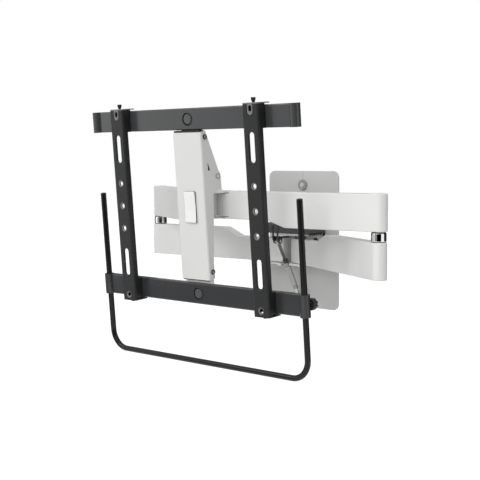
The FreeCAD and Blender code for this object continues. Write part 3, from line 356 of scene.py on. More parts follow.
OWN_FINISHES: dict[str, Surface] = {
    # Painted shade: the column gets a darker copy of the white paint, while the arms' copy is kept lighter
    # to offset the shade they lie in.
    "column": PowderCoat((0.69, 0.69, 0.68), 0.42, rough_play=0.015),
    "bracket_hood": Moulding((0.075, 0.075, 0.077), 0.50),
    # Painted light and shade: both bars share one paint; the top bar's copy is lighter and the bottom bar's
    # darker, as light falls from above.
    "top_bar": PowderCoat((0.050, 0.051, 0.053), 0.18, cloud=0.02, grain=0.08, rough_play=0.01),
    "bottom_bar": PowderCoat((0.034, 0.035, 0.037), 0.20, cloud=0.02, grain=0.08, rough_play=0.01),
    "disc_cap_pair": PowderCoat((0.064, 0.066, 0.067), 0.30, cloud=0.02, grain=0.08, rough_play=0.01),
    "strut_hex_barrel": PlatedSteel((0.26, 0.26, 0.26), 0.20),
    "strut_thread": PlatedSteel((0.26, 0.26, 0.26), 0.24),
    "strut_rod": PlatedSteel((0.26, 0.26, 0.26), 0.20),
    # Painted shade: the dark rings in the caps' dishes and the tabs in the column's slits.
    "disc_cap_seams": PAINTED_SHADE_BLACK,
    "latch_tabs": PAINTED_SHADE_BLACK,
}


# Frame and shapes
class Workshop:
    """Keeps the loaded frame, one material per slot, the head's own frame and the pieces made so far."""

    def __init__(self) -> None:
        """Load the frame, and make and assign the finishes of its nodes."""
        self.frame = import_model()
        self.cad_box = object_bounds()
        self.pieces: list[bpy.types.Object] = []
        self.materials = {slot: finish.material(slot.value) for slot, finish in FINISHES.items()}
        record = self.frame["record"]
        slots = {row["node"]: Slot(row["material_slot"]) for row in record["subparts"]}
        for name, node in self.frame["nodes"].items():
            node.data.materials.clear()
            node.data.materials.append(self.finish(name, slots[name]))
        origin, front = self.line(record["mounts"], "tv_pattern")
        self.head = Place.along(origin, RIGHT.cross(-front), RIGHT)
        self.back = self.head.turn(BACK)
        self.up = self.head.turn(UPWARD)

    def finish(self, name: str, slot: Slot) -> Material:
        """The own finish of a node or piece, or else the one of its slot."""
        own = OWN_FINISHES.get(name)
        return own.material(f"{name}_finish") if own else self.materials[slot]

    @staticmethod
    def line(rows: list[dict], name: str) -> tuple[Vector, Vector]:
        """A point on the axis of a named joint or mount, and the axis."""
        row = next(row for row in rows if row["name"] == name)
        return Vector(row["pos_m"]), Vector(row["axis"]).normalized()

    def corners(self, node: str) -> list[Vector]:
        """All corner points of a node."""
        return [vertex.co for vertex in self.frame["nodes"][node].data.vertices]

    def turned(self, node: str, axis: Vector, outward: bool = False) -> list[Turned]:
        """Measure the round solids of a node.

        Args:
            node: Name of the node.
            axis: Direction of their axes.
            outward: True where the solids on the low side point the other way.

        Returns:
            One entry per solid.
        """
        groups = solids(self.frame["nodes"][node])
        middles = [sum(point.dot(axis) for point in group) / len(group) for group in groups]
        centre = (min(middles) + max(middles)) / 2
        flips = [outward and middle < centre for middle in middles]
        return [Turned.measure(group, -axis if flip else axis) for group, flip in zip(groups, flips)]

    def add(self, shape: Shape, name: str, body: str, slot: Slot, *replaced: str) -> None:
        """Turn a finished shape into a piece that rides on a body.

        Args:
            shape: The mesh under construction, in the row frame; it is freed.
            name: Name of the piece.
            body: Body that carries it.
            slot: Its finish.
            replaced: CAD nodes that it stands for.
        """
        limit = math.radians(SHARP_DEG)
        for face in shape.faces:
            face.smooth = True
        for edge in shape.edges:
            edge.smooth = edge.calc_face_angle(0.0) < limit
        piece = mesh_object(shape, name, self.finish(name, slot))
        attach(piece, body)
        if replaced:
            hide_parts(*replaced)
        self.pieces.append(piece)
        LOG.info("%s rides on %s", name, body)


@dataclass
class Place:
    """A local frame: the matrix takes local points to the row frame."""

    matrix: Matrix

    @classmethod
    def along(cls, origin: Vector, axis: Vector, side: Vector) -> Place:
        """Make a frame from a point, its Z axis and a hint for its X axis.

        Args:
            origin: The frame's origin.
            axis: Its Z axis.
            side: A direction near its X axis.

        Returns:
            The frame.
        """
        z = axis.normalized()
        y = z.cross(side).normalized()
        matrix = Matrix((y.cross(z), y, z)).transposed().to_4x4()
        matrix.translation = origin
        return cls(matrix)

    def local(self, points: Iterable[Vector]) -> list[Vector]:
        """Some points of the row frame in this frame."""
        inverse = self.matrix.inverted()
        return [inverse @ point for point in points]

    def extent(self, points: Iterable[Vector]) -> tuple[Vector, Vector]:
        """Lowest and highest corner, in this frame, of some points of the row frame."""
        rows = list(zip(*self.local(points)))
        return Vector([min(row) for row in rows]), Vector([max(row) for row in rows])

    def at(self, point: Vector) -> Vector:
        """A local point in the row frame."""
        return self.matrix @ point

    def turn(self, direction: Vector) -> Vector:
        """A local direction in the row frame."""
        return self.matrix.to_3x3() @ direction


@dataclass(frozen=True)
class Turned:
    """One round solid of the frame: a local frame on its axis, from its low end."""

    place: Place
    length: float
    radius: float

    @classmethod
    def measure(cls, points: list[Vector], axis: Vector) -> Turned:
        """Measure a round solid along a known axis.

        Args:
            points: The solid's corner points.
            axis: Direction of its axis, towards its high end.

        Returns:
            Its place, length and largest radius.
        """
        side = UPWARD if abs(axis.x) > SIDEWAYS else RIGHT
        frame = Place.along(Vector(), axis, side)
        low, high = frame.extent(points)
        middle = (low + high) / 2
        origin = frame.at(Vector((middle.x, middle.y, low.z)))
        return cls(Place.along(origin, axis, side), high.z - low.z, (high.x - low.x) / 2)

    def spun(self, profile: Profile, steps: int = Facets.PLAIN, closed: bool = False) -> Shape:
        """Spin a profile about this solid's axis, as lathe does, with heights from its low end."""
        return moved(lathe(profile, steps, closed), self.place.matrix)


def mesh_object(shape: Shape, name: str, material: Material) -> bpy.types.Object:
    """Make an object of a shape.

    Args:
        shape: The shape; it is freed.
        name: Name of the object.
        material: Its material.

    Returns:
        The object, in the scene.
    """
    mesh = bpy.data.meshes.new(name)
    shape.to_mesh(mesh)
    shape.free()
    mesh.materials.append(material)
    made = bpy.data.objects.new(name, mesh)
    bpy.context.scene.collection.objects.link(made)
    return made


def solids(node: bpy.types.Object) -> list[list[Vector]]:
    """Corner points of each separate solid of a CAD node.

    Args:
        node: The node's object.

    Returns:
        One list of points per solid, in the order of the mesh.
    """
    shape = bmesh.new()
    shape.from_mesh(node.data)
    bmesh.ops.remove_doubles(shape, verts=shape.verts, dist=WELD)
    groups: list[list[Vector]] = []
    seen: set[bmesh.types.BMVert] = set()
    for first in shape.verts:
        if first in seen:
            continue
        seen.add(first)
        front, group = [first], []
        while front:
            vert = front.pop()
            group.append(vert.co.copy())
            near = {edge.other_vert(vert) for edge in vert.link_edges} - seen
            seen |= near
            front.extend(near)
        groups.append(group)
    shape.free()
    return groups


def mirrored(half: Profile, low: float, high: float) -> Profile:
    """A profile between two heights whose upper half mirrors its lower one, given from the low end."""
    upper = [(radius, high - height) for radius, height in reversed(half)]
    return [(radius, low + height) for radius, height in half] + upper


def lathe(profile: Profile, steps: int = Facets.PLAIN, closed: bool = False) -> Shape:
    """Spin a profile about Z.

    Args:
        profile: Radius and height of each point.
        steps: Facets round the axis.
        closed: True for a ring, whose last point joins the first.

    Returns:
        A closed shape when the profile starts and ends on the axis or is a ring.
    """
    shape = bmesh.new()
    points = [shape.verts.new((radius, 0.0, height)) for radius, height in profile]
    ends = points[1:] + points[:1] if closed else points[1:]
    edges = [shape.edges.new(pair) for pair in zip(points, ends)]
    bmesh.ops.spin(
        shape, geom=points + edges, cent=Vector(), axis=UPWARD, angle=math.tau, steps=steps, use_merge=True
    )
    bmesh.ops.remove_doubles(shape, verts=shape.verts, dist=WELD)
    bmesh.ops.dissolve_degenerate(shape, edges=shape.edges, dist=WELD)
    bmesh.ops.recalc_face_normals(shape, faces=shape.faces)
    return shape


def bevel(shape: Shape, edges: list[bmesh.types.BMEdge], offset: float, segments: int) -> None:
    """Round some edges of a shape by a bevel of a width and a number of facets across it."""
    bmesh.ops.bevel(
        shape, geom=edges, offset=offset, segments=segments, profile=0.5, affect="EDGES", material=-1,
        clamp_overlap=True,
    )


def soften(shape: Shape, offset: float, segments: int = 2, angle_deg: float = 40.0) -> None:
    """Bevel the sharp edges of a shape.

    Args:
        shape: The shape.
        offset: Width of the bevel.
        segments: Facets across it.
        angle_deg: Edges that turn by more are sharp.
    """
    limit = math.radians(angle_deg)
    sharp = [edge for edge in shape.edges if edge.is_manifold and edge.calc_face_angle(0.0) > limit]
    bevel(shape, sharp, offset, segments)


def edges_along(shape: Shape, axis: int) -> list[bmesh.types.BMEdge]:
    """Edges of a box that run along the axis with this number."""
    return [edge for edge in shape.edges if abs((edge.verts[0].co - edge.verts[1].co)[axis]) > WELD]


def moved(shape: Shape, matrix: Matrix) -> Shape:
    """Move a shape by a matrix and return it."""
    bmesh.ops.transform(shape, matrix=matrix, verts=shape.verts)
    return shape


def joined(shapes: Iterable[Shape]) -> Shape:
    """Gather several shapes in one.

    Args:
        shapes: The shapes; they are freed.

    Returns:
        The shape that holds them all.
    """
    whole = bmesh.new()
    for shape in shapes:
        mesh = bpy.data.meshes.new("part")
        shape.to_mesh(mesh)
        shape.free()
        whole.from_mesh(mesh)
        bpy.data.meshes.remove(mesh)
    return whole


def block(first: Iterable[float], second: Iterable[float]) -> Shape:
    """Box between two opposite corners.

    Args:
        first: One corner.
        second: The other corner.

    Returns:
        The shape.
    """
    start, end = Vector(first), Vector(second)
    shape = bmesh.new()
    bmesh.ops.create_cube(shape, size=1.0)
    bmesh.ops.scale(shape, vec=[abs(side) for side in end - start], verts=shape.verts)
    bmesh.ops.translate(shape, vec=(start + end) / 2, verts=shape.verts)
    return shape


def prism(corners: list[Vector], along: Vector) -> Shape:
    """Prism over a flat outline.

    Args:
        corners: Corners of the outline.
        along: Direction and length of the prism.

    Returns:
        The shape.
    """
    shape = bmesh.new()
    face = shape.faces.new([shape.verts.new(corner) for corner in corners])
    ends = bmesh.ops.extrude_face_region(shape, geom=[face], use_keep_orig=True)["geom"]
    far = [item for item in ends if isinstance(item, bmesh.types.BMVert)]
    bmesh.ops.translate(shape, vec=along, verts=far)
    bmesh.ops.recalc_face_normals(shape, faces=shape.faces)
    return shape


@dataclass(frozen=True)
class SocketScrew:
    """Round-headed screw with a hexagon socket; most sizes are shares of its head."""

    head_h: float
    socket: float = 0.50
    lip: float = 1.25
    shank: float = 0.60
    dome: float = 0.30
    socket_depth: float = 0.60

    def shape(self, part: Turned, radius: float) -> Shape:
        """Build the screw in a round solid's place, its head at the high end.

        Args:
            part: The solid that it stands for.
            radius: Radius of the head.

        Returns:
            The closed shape in the row frame.
        """
        top, dome, shank = self.head_h, self.head_h * self.dome, radius * self.shank
        seat = part.length - top
        socket = radius * self.socket
        lip = socket * self.lip
        outline = [
            (lip, top), (lip + (radius - lip) * 0.55, top - dome * 0.28),
            (radius - dome * 0.25, top - dome * 0.75), (radius, top - dome * 1.35), (radius, 0.0),
            (shank, 0.0), (shank, -seat), (0.0, -seat),
        ]
        shape = lathe(outline)
        mouth = [edge for edge in shape.edges if edge.is_boundary]
        hexagon = bmesh.ops.create_circle(shape, cap_ends=False, radius=socket, segments=HEX_SIDES)["verts"]
        bmesh.ops.translate(shape, vec=UPWARD * top, verts=hexagon)
        ring = list({edge for vert in hexagon for edge in vert.link_edges})
        bmesh.ops.bridge_loops(shape, edges=mouth + ring)
        wall = bmesh.ops.extrude_edge_only(shape, edges=ring)["geom"]
        floor = [item for item in wall if isinstance(item, bmesh.types.BMVert)]
        bmesh.ops.translate(shape, vec=UPWARD * -(top * self.socket_depth), verts=floor)
        bmesh.ops.contextual_create(shape, geom=floor)
        bmesh.ops.recalc_face_normals(shape, faces=shape.faces)
        return moved(shape, part.place.matrix @ Matrix.Translation(UPWARD * seat))


# Sub-assemblies
@dataclass
class Assembly:
    """A sub-assembly, with the workshop that its pieces are made in."""

    shop: Workshop

    def screws(self, node: str, axis: Vector, kind: SocketScrew, name: str, body: str) -> None:
        """Put black socket screws in place of a node's round solids, their heads along an axis."""
        shapes = [kind.shape(part, part.radius) for part in self.shop.turned(node, axis)]
        self.shop.add(joined(shapes), name, body, Slot.BLACK_SCREW, node)


@dataclass
class WallSide(Assembly):
    """Wall plate's cover and fasteners, the arms' wall pins and the hood's grip."""

    cover_button: float = 7.0 * MM
    cover_groove: float = 0.8 * MM
    bolt: SocketScrew = SocketScrew(4.5 * MM)
    pin_head: float = 4.0 * MM
    pin_r: float = 7.0 * MM
    rib_w: float = 1.8 * MM
    rib_pitch: float = 3.6 * MM
    rib_h: float = 3.0 * MM
    rib_drop: float = 4.0 * MM
    rib_out: float = 0.7 * MM
    foot_l: float = 6.0 * MM
    foot_t: float = 3.5 * MM
    foot_drop: float = 9.0 * MM
    hood_round: float = 8.0 * MM
    groove_shade_w: float = 1.0 * MM
    groove_shade_sink: float = 0.1 * MM
    groove_shade_depth: float = 0.7 * MM

    def screw_cover(self) -> None:
        """Round cover in two tones: a collar with a raised button in it."""
        part = self.shop.turned("screw_cover", -BACK)[0]
        top, rim, button = part.length, part.radius, self.cover_button
        foot, inner = top * 0.25, button - self.cover_groove
        collar = [
            (button, foot), (rim, foot), (rim, top * 0.70), (rim - top * 0.18, top * 0.94),
            (rim - top * 0.40, top * 0.98), (button + self.cover_groove, top * 0.90), (button, top * 0.80),
        ]
        shape = part.spun(collar, closed=True)
        self.shop.add(shape, "screw_cover_collar", "wall", Slot.GREY_PLASTIC, "screw_cover")
        knob = [
            (0.0, 0.0), (inner * 0.8, 0.0), (inner * 0.8, foot), (inner, foot), (inner, top * 0.88),
            (inner * 0.86, top * 0.98), (0.0, top),
        ]
        self.shop.add(part.spun(knob), "screw_cover_button", "wall", Slot.PLATE_PAINT)

    def centre_mark(self) -> None:
        """Thin grey inlay in the groove that marks the wall plate's middle: painted shade for the groove's
        dark line.
        """
        low, high = map(Vector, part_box("wall_plate"))
        foot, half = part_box("screw_cover")[1][2], self.groove_shade_w / 2
        far = (half, low.y + self.groove_shade_depth, high.z - self.groove_shade_sink)
        mark = block((-half, low.y + self.groove_shade_sink, foot), far)
        # Painted shade: the darker inlay stands for the shade in the groove.
        self.shop.add(mark, "centre_mark", "wall", Slot.GREY_PLASTIC)

    def pins(self) -> None:
        """Headed hinge pins with rounded heads."""
        shapes = []
        for part in self.shop.turned("wall_pins", UPWARD):
            head, rim = self.pin_head, part.radius
            end = [
                (0.0, 0.0), (rim - head * 0.4, 0.0), (rim - head * 0.1, head * 0.2), (rim, head * 0.5),
                (rim, head), (self.pin_r, head),
            ]
            shapes.append(part.spun(mirrored(end, 0.0, part.length)))
        self.shop.add(joined(shapes), "wall_pin_pair", "wall", Slot.ZINC_STEEL, "wall_pins")

    def hood_ribs(self) -> None:
        """Row of grip ribs along the lower edge of the hood's two ends, and a foot on the wall plate."""
        low, high = map(Vector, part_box("bracket_hood"))
        count = int((high.y - low.y - 2 * self.hood_round) / self.rib_pitch)
        top = low.z + self.rib_h
        shapes = []
        for face, inward in ((high.x, -1.0), (low.x, 1.0)):
            out = inward * self.rib_out
            for index in range(count):
                y = low.y + self.hood_round + index * self.rib_pitch
                drop = self.rib_drop * (1 + index % 2) / 2
                rib = block((face + out, y, low.z - drop), (face - out, y + self.rib_w, top))
                soften(rib, self.rib_out / 3)
                shapes.append(rib)
            sole = (face, high.y - self.foot_l, low.z - self.foot_drop)
            foot = block(sole, (face + inward * self.foot_t, high.y, top))
            soften(foot, self.rib_out)
            shapes.append(foot)
        self.shop.add(joined(shapes), "hood_ribs", "wall", Slot.BLACK_PLASTIC)

    def dress(self) -> None:
        """Add all pieces of the wall side."""
        self.screw_cover()
        self.centre_mark()
        self.screws("bracket_bolts", -BACK, self.bolt, "bracket_bolt_set", "wall")
        self.pins()
        self.hood_ribs()


@dataclass
class Strut(Assembly):
    """Turnbuckle strut: hexagon barrel with turned ends, lock nut, thread and cross pins."""

    bore: float = 3.45 * MM
    collar_l: float = 9.0 * MM
    collar_drop: float = 1.0 * MM
    hex_edge: float = 0.7 * MM
    hex_facets: int = 3
    hex_turn_deg: float = 50.0
    nut_chamfer: float = 1.2 * MM
    thread_pitch: float = 1.5 * MM
    thread_depth: float = 0.45 * MM
    thread_root: float = 0.1
    thread_core: float = 0.9
    rod_r: float = 3.4 * MM
    eye_room: float = 12.5 * MM
    pin_head: float = 2.5 * MM
    pin_r: float = 2.5 * MM
    yoke_x: float = 5.2 * MM
    yoke_t: float = 3.0 * MM
    yoke_h: float = 34.0 * MM
    yoke_l: float = 3.0 * MM
    yoke_edge: float = 1.4 * MM
    yoke_facets: int = 4
    yoke_bolt_r: float = 3.2 * MM
    yoke_bolt_h: float = 2.2 * MM
    yoke_bolt_up: float = 0.75

    @cached_property
    def axis(self) -> Vector:
        """The strut's axis."""
        return self.shop.line(self.shop.frame["joints"], "strut_turn")[1]

    def barrel(self) -> None:
        """Hexagon barrel between two turned collars."""
        part = self.shop.turned("strut_barrel", self.axis)[0]
        top, collar, edge = part.length, self.collar_l, self.hex_edge
        rim = part.radius - self.collar_drop
        body = [(self.bore, 0.0), (rim, 0.0), (part.radius, self.collar_drop)]
        hexagon = part.spun(mirrored(body, collar, top - collar), HEX_SIDES, closed=True)
        soften(hexagon, edge, self.hex_facets, self.hex_turn_deg)
        end = [
            (self.bore, 0.0), (rim - edge, 0.0), (rim, edge), (rim, collar * 0.35),
            (rim - edge, collar * 0.45),
        ]
        rings = [part.spun(mirrored(end, low, low + collar), closed=True) for low in (0.0, top - collar)]
        shape = joined([hexagon, *rings])
        self.shop.add(shape, "strut_hex_barrel", "strut_turnbuckle", Slot.ZINC_STEEL, "strut_barrel")

    def nut(self) -> None:
        """Hexagon lock nut with chamfered corners."""
        part = self.shop.turned("strut_lock_nut", self.axis)[0]
        rim, cut = part.radius, self.nut_chamfer
        half = [(self.bore, 0.0), (rim - cut, 0.0), (rim, cut * 0.6)]
        shape = part.spun(mirrored(half, 0.0, part.length), HEX_SIDES, closed=True)
        soften(shape, cut * 0.25, angle_deg=self.hex_turn_deg)
        self.shop.add(shape, "strut_hex_nut", "strut_turnbuckle", Slot.BLACK_SCREW, "strut_lock_nut")

    def thread(self) -> None:
        """Ridges of the thread on the rod between the lock nut and its eye."""
        nut, rod = (self.shop.turned(node, self.axis)[0] for node in ("strut_lock_nut", "strut_rod"))
        start, pitch, core = nut.length, self.thread_pitch, self.rod_r * self.thread_core
        rod_top = (rod.place.at(UPWARD * rod.length) - nut.place.at(Vector())).dot(self.axis)
        count = int((rod_top - self.eye_room - start) / pitch)
        end = start + count * pitch
        crest, root = (self.rod_r + self.thread_depth * share for share in (1.0, self.thread_root))
        profile = [(core, start)]
        for index in range(count):
            foot = start + index * pitch
            profile += [(root, foot), (crest, foot + pitch / 2)]
        profile += [(root, end), (core, end)]
        self.shop.add(nut.spun(profile, Facets.SMALL, closed=True), "strut_thread", "wall", Slot.ZINC_STEEL)

    def pins(self) -> None:
        """Cross pins with domed heads at both ends."""
        shapes = []
        for part in self.shop.turned("strut_pins", RIGHT):
            head, rim = self.pin_head, part.radius
            end = [
                (0.0, 0.0), (rim * 0.50, head * 0.10), (rim * 0.82, head * 0.32), (rim, head * 0.65),
                (rim, head), (self.pin_r, head),
            ]
            shapes.append(part.spun(mirrored(end, 0.0, part.length), Facets.SMALL))
        self.shop.add(joined(shapes), "strut_pin_pair", "wall", Slot.ZINC_STEEL, "strut_pins")

    def yoke(self) -> None:
        """Two straps on the front of the clevis that rise past the bracket's tab, with a bolt on each."""
        low, high = map(Vector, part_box("strut_clevis"))
        foot, rim, top = (low.z + high.z) / 2, self.yoke_bolt_r, self.yoke_bolt_h
        head = [(0.0, 0.0), (rim, 0.0), (rim, top * 0.6), (rim * 0.75, top), (0.0, top)]
        posts, bolts = [], []
        for sign in (-1.0, 1.0):
            near, far = sign * self.yoke_x, sign * (self.yoke_x + self.yoke_t)
            post = block((near, low.y - self.yoke_l, foot), (far, low.y, foot + self.yoke_h))
            rims = [edge for edge in edges_along(post, 0) if edge.verts[0].co.z > foot + self.yoke_edge]
            bevel(post, rims, self.yoke_edge, self.yoke_facets)
            posts.append(post)
            seat = Vector((far, low.y - self.yoke_l / 2, foot + self.yoke_h * self.yoke_bolt_up))
            place = Place.along(seat, RIGHT * sign, UPWARD)
            bolts.append(moved(lathe(head, Facets.SMALL), place.matrix))
        self.shop.add(joined(posts), "strut_yoke_posts", "wall", Slot.BAR_PAINT)
        self.shop.add(joined(bolts), "strut_yoke_bolts", "wall", Slot.BLACK_SCREW)

    def dress(self) -> None:
        """Add all pieces of the strut."""
        self.yoke()
        self.barrel()
        self.nut()
        self.thread()
        self.pins()


@dataclass
class Elbow(Assembly):
    """One elbow: polished ring between two dark washers, and a grooved cap on top."""

    side: str
    bore: float = 7.1 * MM
    washer_t: float = 1.1 * MM
    washer_in: float = 0.5 * MM
    chamfer: float = 1.0 * MM
    cap_plug: float = 4.8 * MM
    cap_plug_r: float = 9.9 * MM
    groove_r: float = 10.6 * MM
    groove: float = 0.35 * MM

    def ring(self) -> None:
        """Polished ring and its two washers."""
        node = f"{self.side}_elbow_ring"
        part = self.shop.turned(node, UPWARD)[0]
        thick, rim, cut = self.washer_t, part.radius, self.chamfer
        high, edge, fold = part.length - thick, rim - self.washer_in, thick * 0.2
        half = [
            (self.bore, 0.0), (rim - cut, 0.0), (rim - cut * 0.3, cut * 0.3), (rim, cut), (rim, cut * 1.2),
        ]
        shape = part.spun(mirrored(half, thick, high), Facets.MIRROR, closed=True)
        self.shop.add(shape, f"{self.side}_elbow_polished_ring", node, Slot.BRIGHT_RING, node)
        half = [(self.bore, 0.0), (edge - fold, 0.0), (edge, fold)]
        outlines = [mirrored(half, low, low + thick) for low in (0.0, high)]
        washers = [part.spun(outline, Facets.FINE, closed=True) for outline in outlines]
        self.shop.add(joined(washers), f"{self.side}_elbow_washers", node, Slot.BLACK_PLASTIC)

    def cap(self) -> None:
        """Low cap with a ring groove."""
        node = f"{self.side}_elbow_cap"
        part = self.shop.turned(node, UPWARD)[0]
        top, rim, plug, groove = part.length, part.radius, self.cap_plug, self.groove
        profile = [
            (0.0, 0.0), (self.cap_plug_r, 0.0), (self.cap_plug_r, plug), (rim, plug), (rim, top - groove),
            (rim - groove, top), (self.groove_r + groove, top), (self.groove_r, top - groove),
            (self.groove_r - groove, top), (0.0, top),
        ]
        name, body = f"{self.side}_elbow_grooved_cap", f"{self.side}_upper_arm"
        self.shop.add(part.spun(profile, Facets.FINE), name, body, Slot.WHITE_PLASTIC, node)

    def dress(self) -> None:
        """Add all pieces of the elbow."""
        self.ring()
        self.cap()


@dataclass
class Head(Assembly):
    """Fasteners, tile and caps of the tilting head."""

    screw: SocketScrew = SocketScrew(3.2 * MM, socket=0.55)
    tilt: SocketScrew = SocketScrew(2.8 * MM, socket=0.55)
    bar_bolt: SocketScrew = SocketScrew(4.5 * MM)
    centre: float = 0.64
    collar_gap: float = 0.25 * MM
    shade_tray_depth: float = 2.4 * MM
    tile_lip: float = 0.5 * MM
    tile_corner: float = 3.5 * MM
    tile_facets: int = 6
    tile_edge: float = 0.25 * MM
    tile_turn_deg: float = 60.0
    tile_wave: float = 1.3 * MM
    tile_cuts: int = 16
    disc_wall: float = 0.6 * MM
    disc_dish: float = 1.5 * MM
    disc_shade_ring: float = 2.8 * MM
    disc_h: float = 1.6 * MM
    disc_stem: float = 5.0 * MM
    slit_shade_out: float = 0.4 * MM
    slit_shade_t: float = 0.38 * MM
    slit_shade_back: float = 33.4 * MM
    slit_shade_w: float = 5.0 * MM
    slit_shade_up: float = 77.4 * MM
    slit_shade_h: float = 16.0 * MM
    shade_strip_in: float = 1.0 * MM
    shade_strip_side: float = 4.0 * MM
    shade_strip_top_h: float = 3.9 * MM
    shade_strip_top_l: float = 13.0 * MM
    shade_strip_low_h: float = 2.2 * MM
    shade_strip_low_l: float = 3.0 * MM
    shade_strip_gap: float = 0.02 * MM
    shade_strip_slope: float = 0.21

    def collared(self, node: str, body: str, kind: SocketScrew, metal: Slot, collar: Slot) -> None:
        """Socket screws with a collar round each head.

        Args:
            node: Node that the screws stand for.
            body: Body that carries them.
            kind: The kind of screw.
            metal: Finish of the screws.
            collar: Finish of the collars.
        """
        head, gap = kind.head_h, self.collar_gap
        screws, collars = [], []
        for part in self.shop.turned(node, RIGHT, outward=True):
            top, rim, inner = part.length, part.radius, part.radius * self.centre
            seat = top - head
            ring = [
                (inner + gap, seat), (rim, seat), (rim, seat + head * 0.55),
                (rim - head * 0.25, top - head * 0.12), (inner + gap * 2, top - head * 0.08),
                (inner + gap, top - head * 0.3),
            ]
            screws.append(kind.shape(part, inner))
            collars.append(part.spun(ring, closed=True))
        self.shop.add(joined(screws), f"{node}_heads", body, metal, node)
        self.shop.add(joined(collars), f"{node}_collars", body, collar)

    def tile(self) -> None:
        """Blank white tile with a bowed face, let into a dark tray: painted shade for the shadow gap and
        shaded side round the tile.
        """
        low, high = self.shop.head.extent(self.shop.corners("badge_tile"))
        lip, shade_seam = self.tile_lip, high.y - self.shade_tray_depth
        half, middle = (high.z - low.z) / 2, (high.z + low.z) / 2
        tile = block((low.x + lip, low.y, low.z + lip), (high.x - lip, shade_seam, high.z - lip))
        shade_tray = block((low.x, low.y + lip, low.z), high)
        for shape in (tile, shade_tray):
            bevel(shape, edges_along(shape, 1), self.tile_corner, self.tile_facets)
            soften(shape, self.tile_edge, angle_deg=self.tile_turn_deg)
            for cut in range(1, self.tile_cuts):
                level = UPWARD * (low.z + 2 * half * cut / self.tile_cuts)
                everything = shape.verts[:] + shape.edges[:] + shape.faces[:]
                bmesh.ops.bisect_plane(shape, geom=everything, plane_co=level, plane_no=UPWARD)
            for vert in shape.verts:
                share = 1.0 - ((vert.co.z - middle) / half) ** 2
                depth = max(shade_seam - vert.co.y, 0.0) / (shade_seam - low.y)
                vert.co.y += self.tile_wave * share * depth
            moved(shape, self.shop.head.matrix)
        self.shop.add(tile, "badge_blank_tile", "head", Slot.WHITE_PLASTIC, "badge_tile")
        # Painted shade: the grey tray shows as dark outlines round the tile.
        self.shop.add(shade_tray, "badge_base", "head", Slot.HOOK_PAINT)

    def slit_shade(self) -> None:
        """Dark tabs over the slits of the column's sides: painted shade for the dark inside seen through
        each slit.
        """
        low, high = self.shop.head.extent(self.shop.corners("column"))
        shapes = []
        for face, inward in ((high.x, -1.0), (low.x, 1.0)):
            outer = Vector((face - inward * self.slit_shade_out, self.slit_shade_back, self.slit_shade_up))
            corners = [outer, outer + BACK * self.slit_shade_w, outer + UPWARD * self.slit_shade_h]
            shapes.append(prism(corners, RIGHT * (inward * self.slit_shade_t)))
        shape = moved(joined(shapes), self.shop.head.matrix)
        # Painted shade: near-black tabs stand for the dark inside of the slits.
        self.shop.add(shape, "latch_tabs", "head", Slot.BLACK_SCREW)

    def shade_strips(self) -> None:
        """Dark strips on the column's sloping top and under its foot: painted shade for the shadowed gaps
        there.
        """
        head, points = self.shop.head, self.shop.corners("column")
        low, high = head.extent(points)
        front, side = low.y + self.shade_strip_in, high.x - self.shade_strip_side
        heights = [local.z for local in head.local(points) if local.y < front]
        rim, sole = max(heights), min(heights) - self.shade_strip_gap
        crown = rim + self.shade_strip_top_h
        top = block((-side, front, rim + self.shade_strip_gap), (side, front + self.shade_strip_top_l, crown))
        for vert in top.verts:
            if vert.co.z < crown - WELD:
                vert.co.z += (vert.co.y - low.y) * self.shade_strip_slope
        foot = block((-side, front, sole - self.shade_strip_low_h), (side, front + self.shade_strip_low_l, sole))
        # Painted shade: black strips stand for the shadowed gaps at the column's top and foot.
        shape = moved(joined([top, foot]), head.matrix)
        self.shop.add(shape, "column_gaskets", "head", Slot.BLACK_PLASTIC)

    def discs(self) -> None:
        """Dished caps at the middle of the bars, each with a near-black ring inside its rim: painted shade
        for the shadowed inner wall of the dish.
        """
        wall, stem = self.disc_wall, self.disc_stem
        caps, shade_rings = [], []
        for part in self.shop.turned("disc_caps", -self.shop.back):
            top, rim = part.length, part.radius
            seat, floor = top - self.disc_h, top - self.disc_dish
            cap = [
                (0.0, 0.0), (stem, 0.0), (stem, seat), (rim, seat), (rim, top - wall * 0.4),
                (rim - wall * 0.4, top), (rim - wall * 0.8, top), (rim - wall, top - wall * 0.3),
                (rim - wall * 1.4, floor), (0.0, floor),
            ]
            caps.append(part.spun(cap, Facets.FINE))
            # Painted shade: the near-black ring stands for the shade on the dish's inner wall.
            outer = rim - wall
            inner = outer - self.disc_shade_ring
            shade_seam = [
                (inner, floor - wall * 0.2), (outer - wall * 0.2, floor - wall * 0.2),
                (outer - wall * 0.1, floor + self.disc_dish * 0.5),
                (outer - wall * 0.6, floor + wall * 0.2), (inner, floor + wall * 0.1),
            ]
            shade_rings.append(part.spun(shade_seam, Facets.FINE, closed=True))
        self.shop.add(joined(caps), "disc_cap_pair", "head", Slot.BAR_PAINT, "disc_caps")
        self.shop.add(joined(shade_rings), "disc_cap_seams", "head", Slot.BLACK_PLASTIC)

    def dress(self) -> None:
        """Add all pieces of the head."""
        self.collared("column_screws", "head", self.screw, Slot.ZINC_STEEL, Slot.BLACK_SCREW)
        self.collared("tilt_bolts", "carriage", self.tilt, Slot.WHITE_PAINT, Slot.GREY_PLASTIC)
        self.slit_shade()
        self.shade_strips()
        self.tile()
        self.discs()
        self.screws("bar_bolts", self.shop.back, self.bar_bolt, "bar_bolt_set", "head")


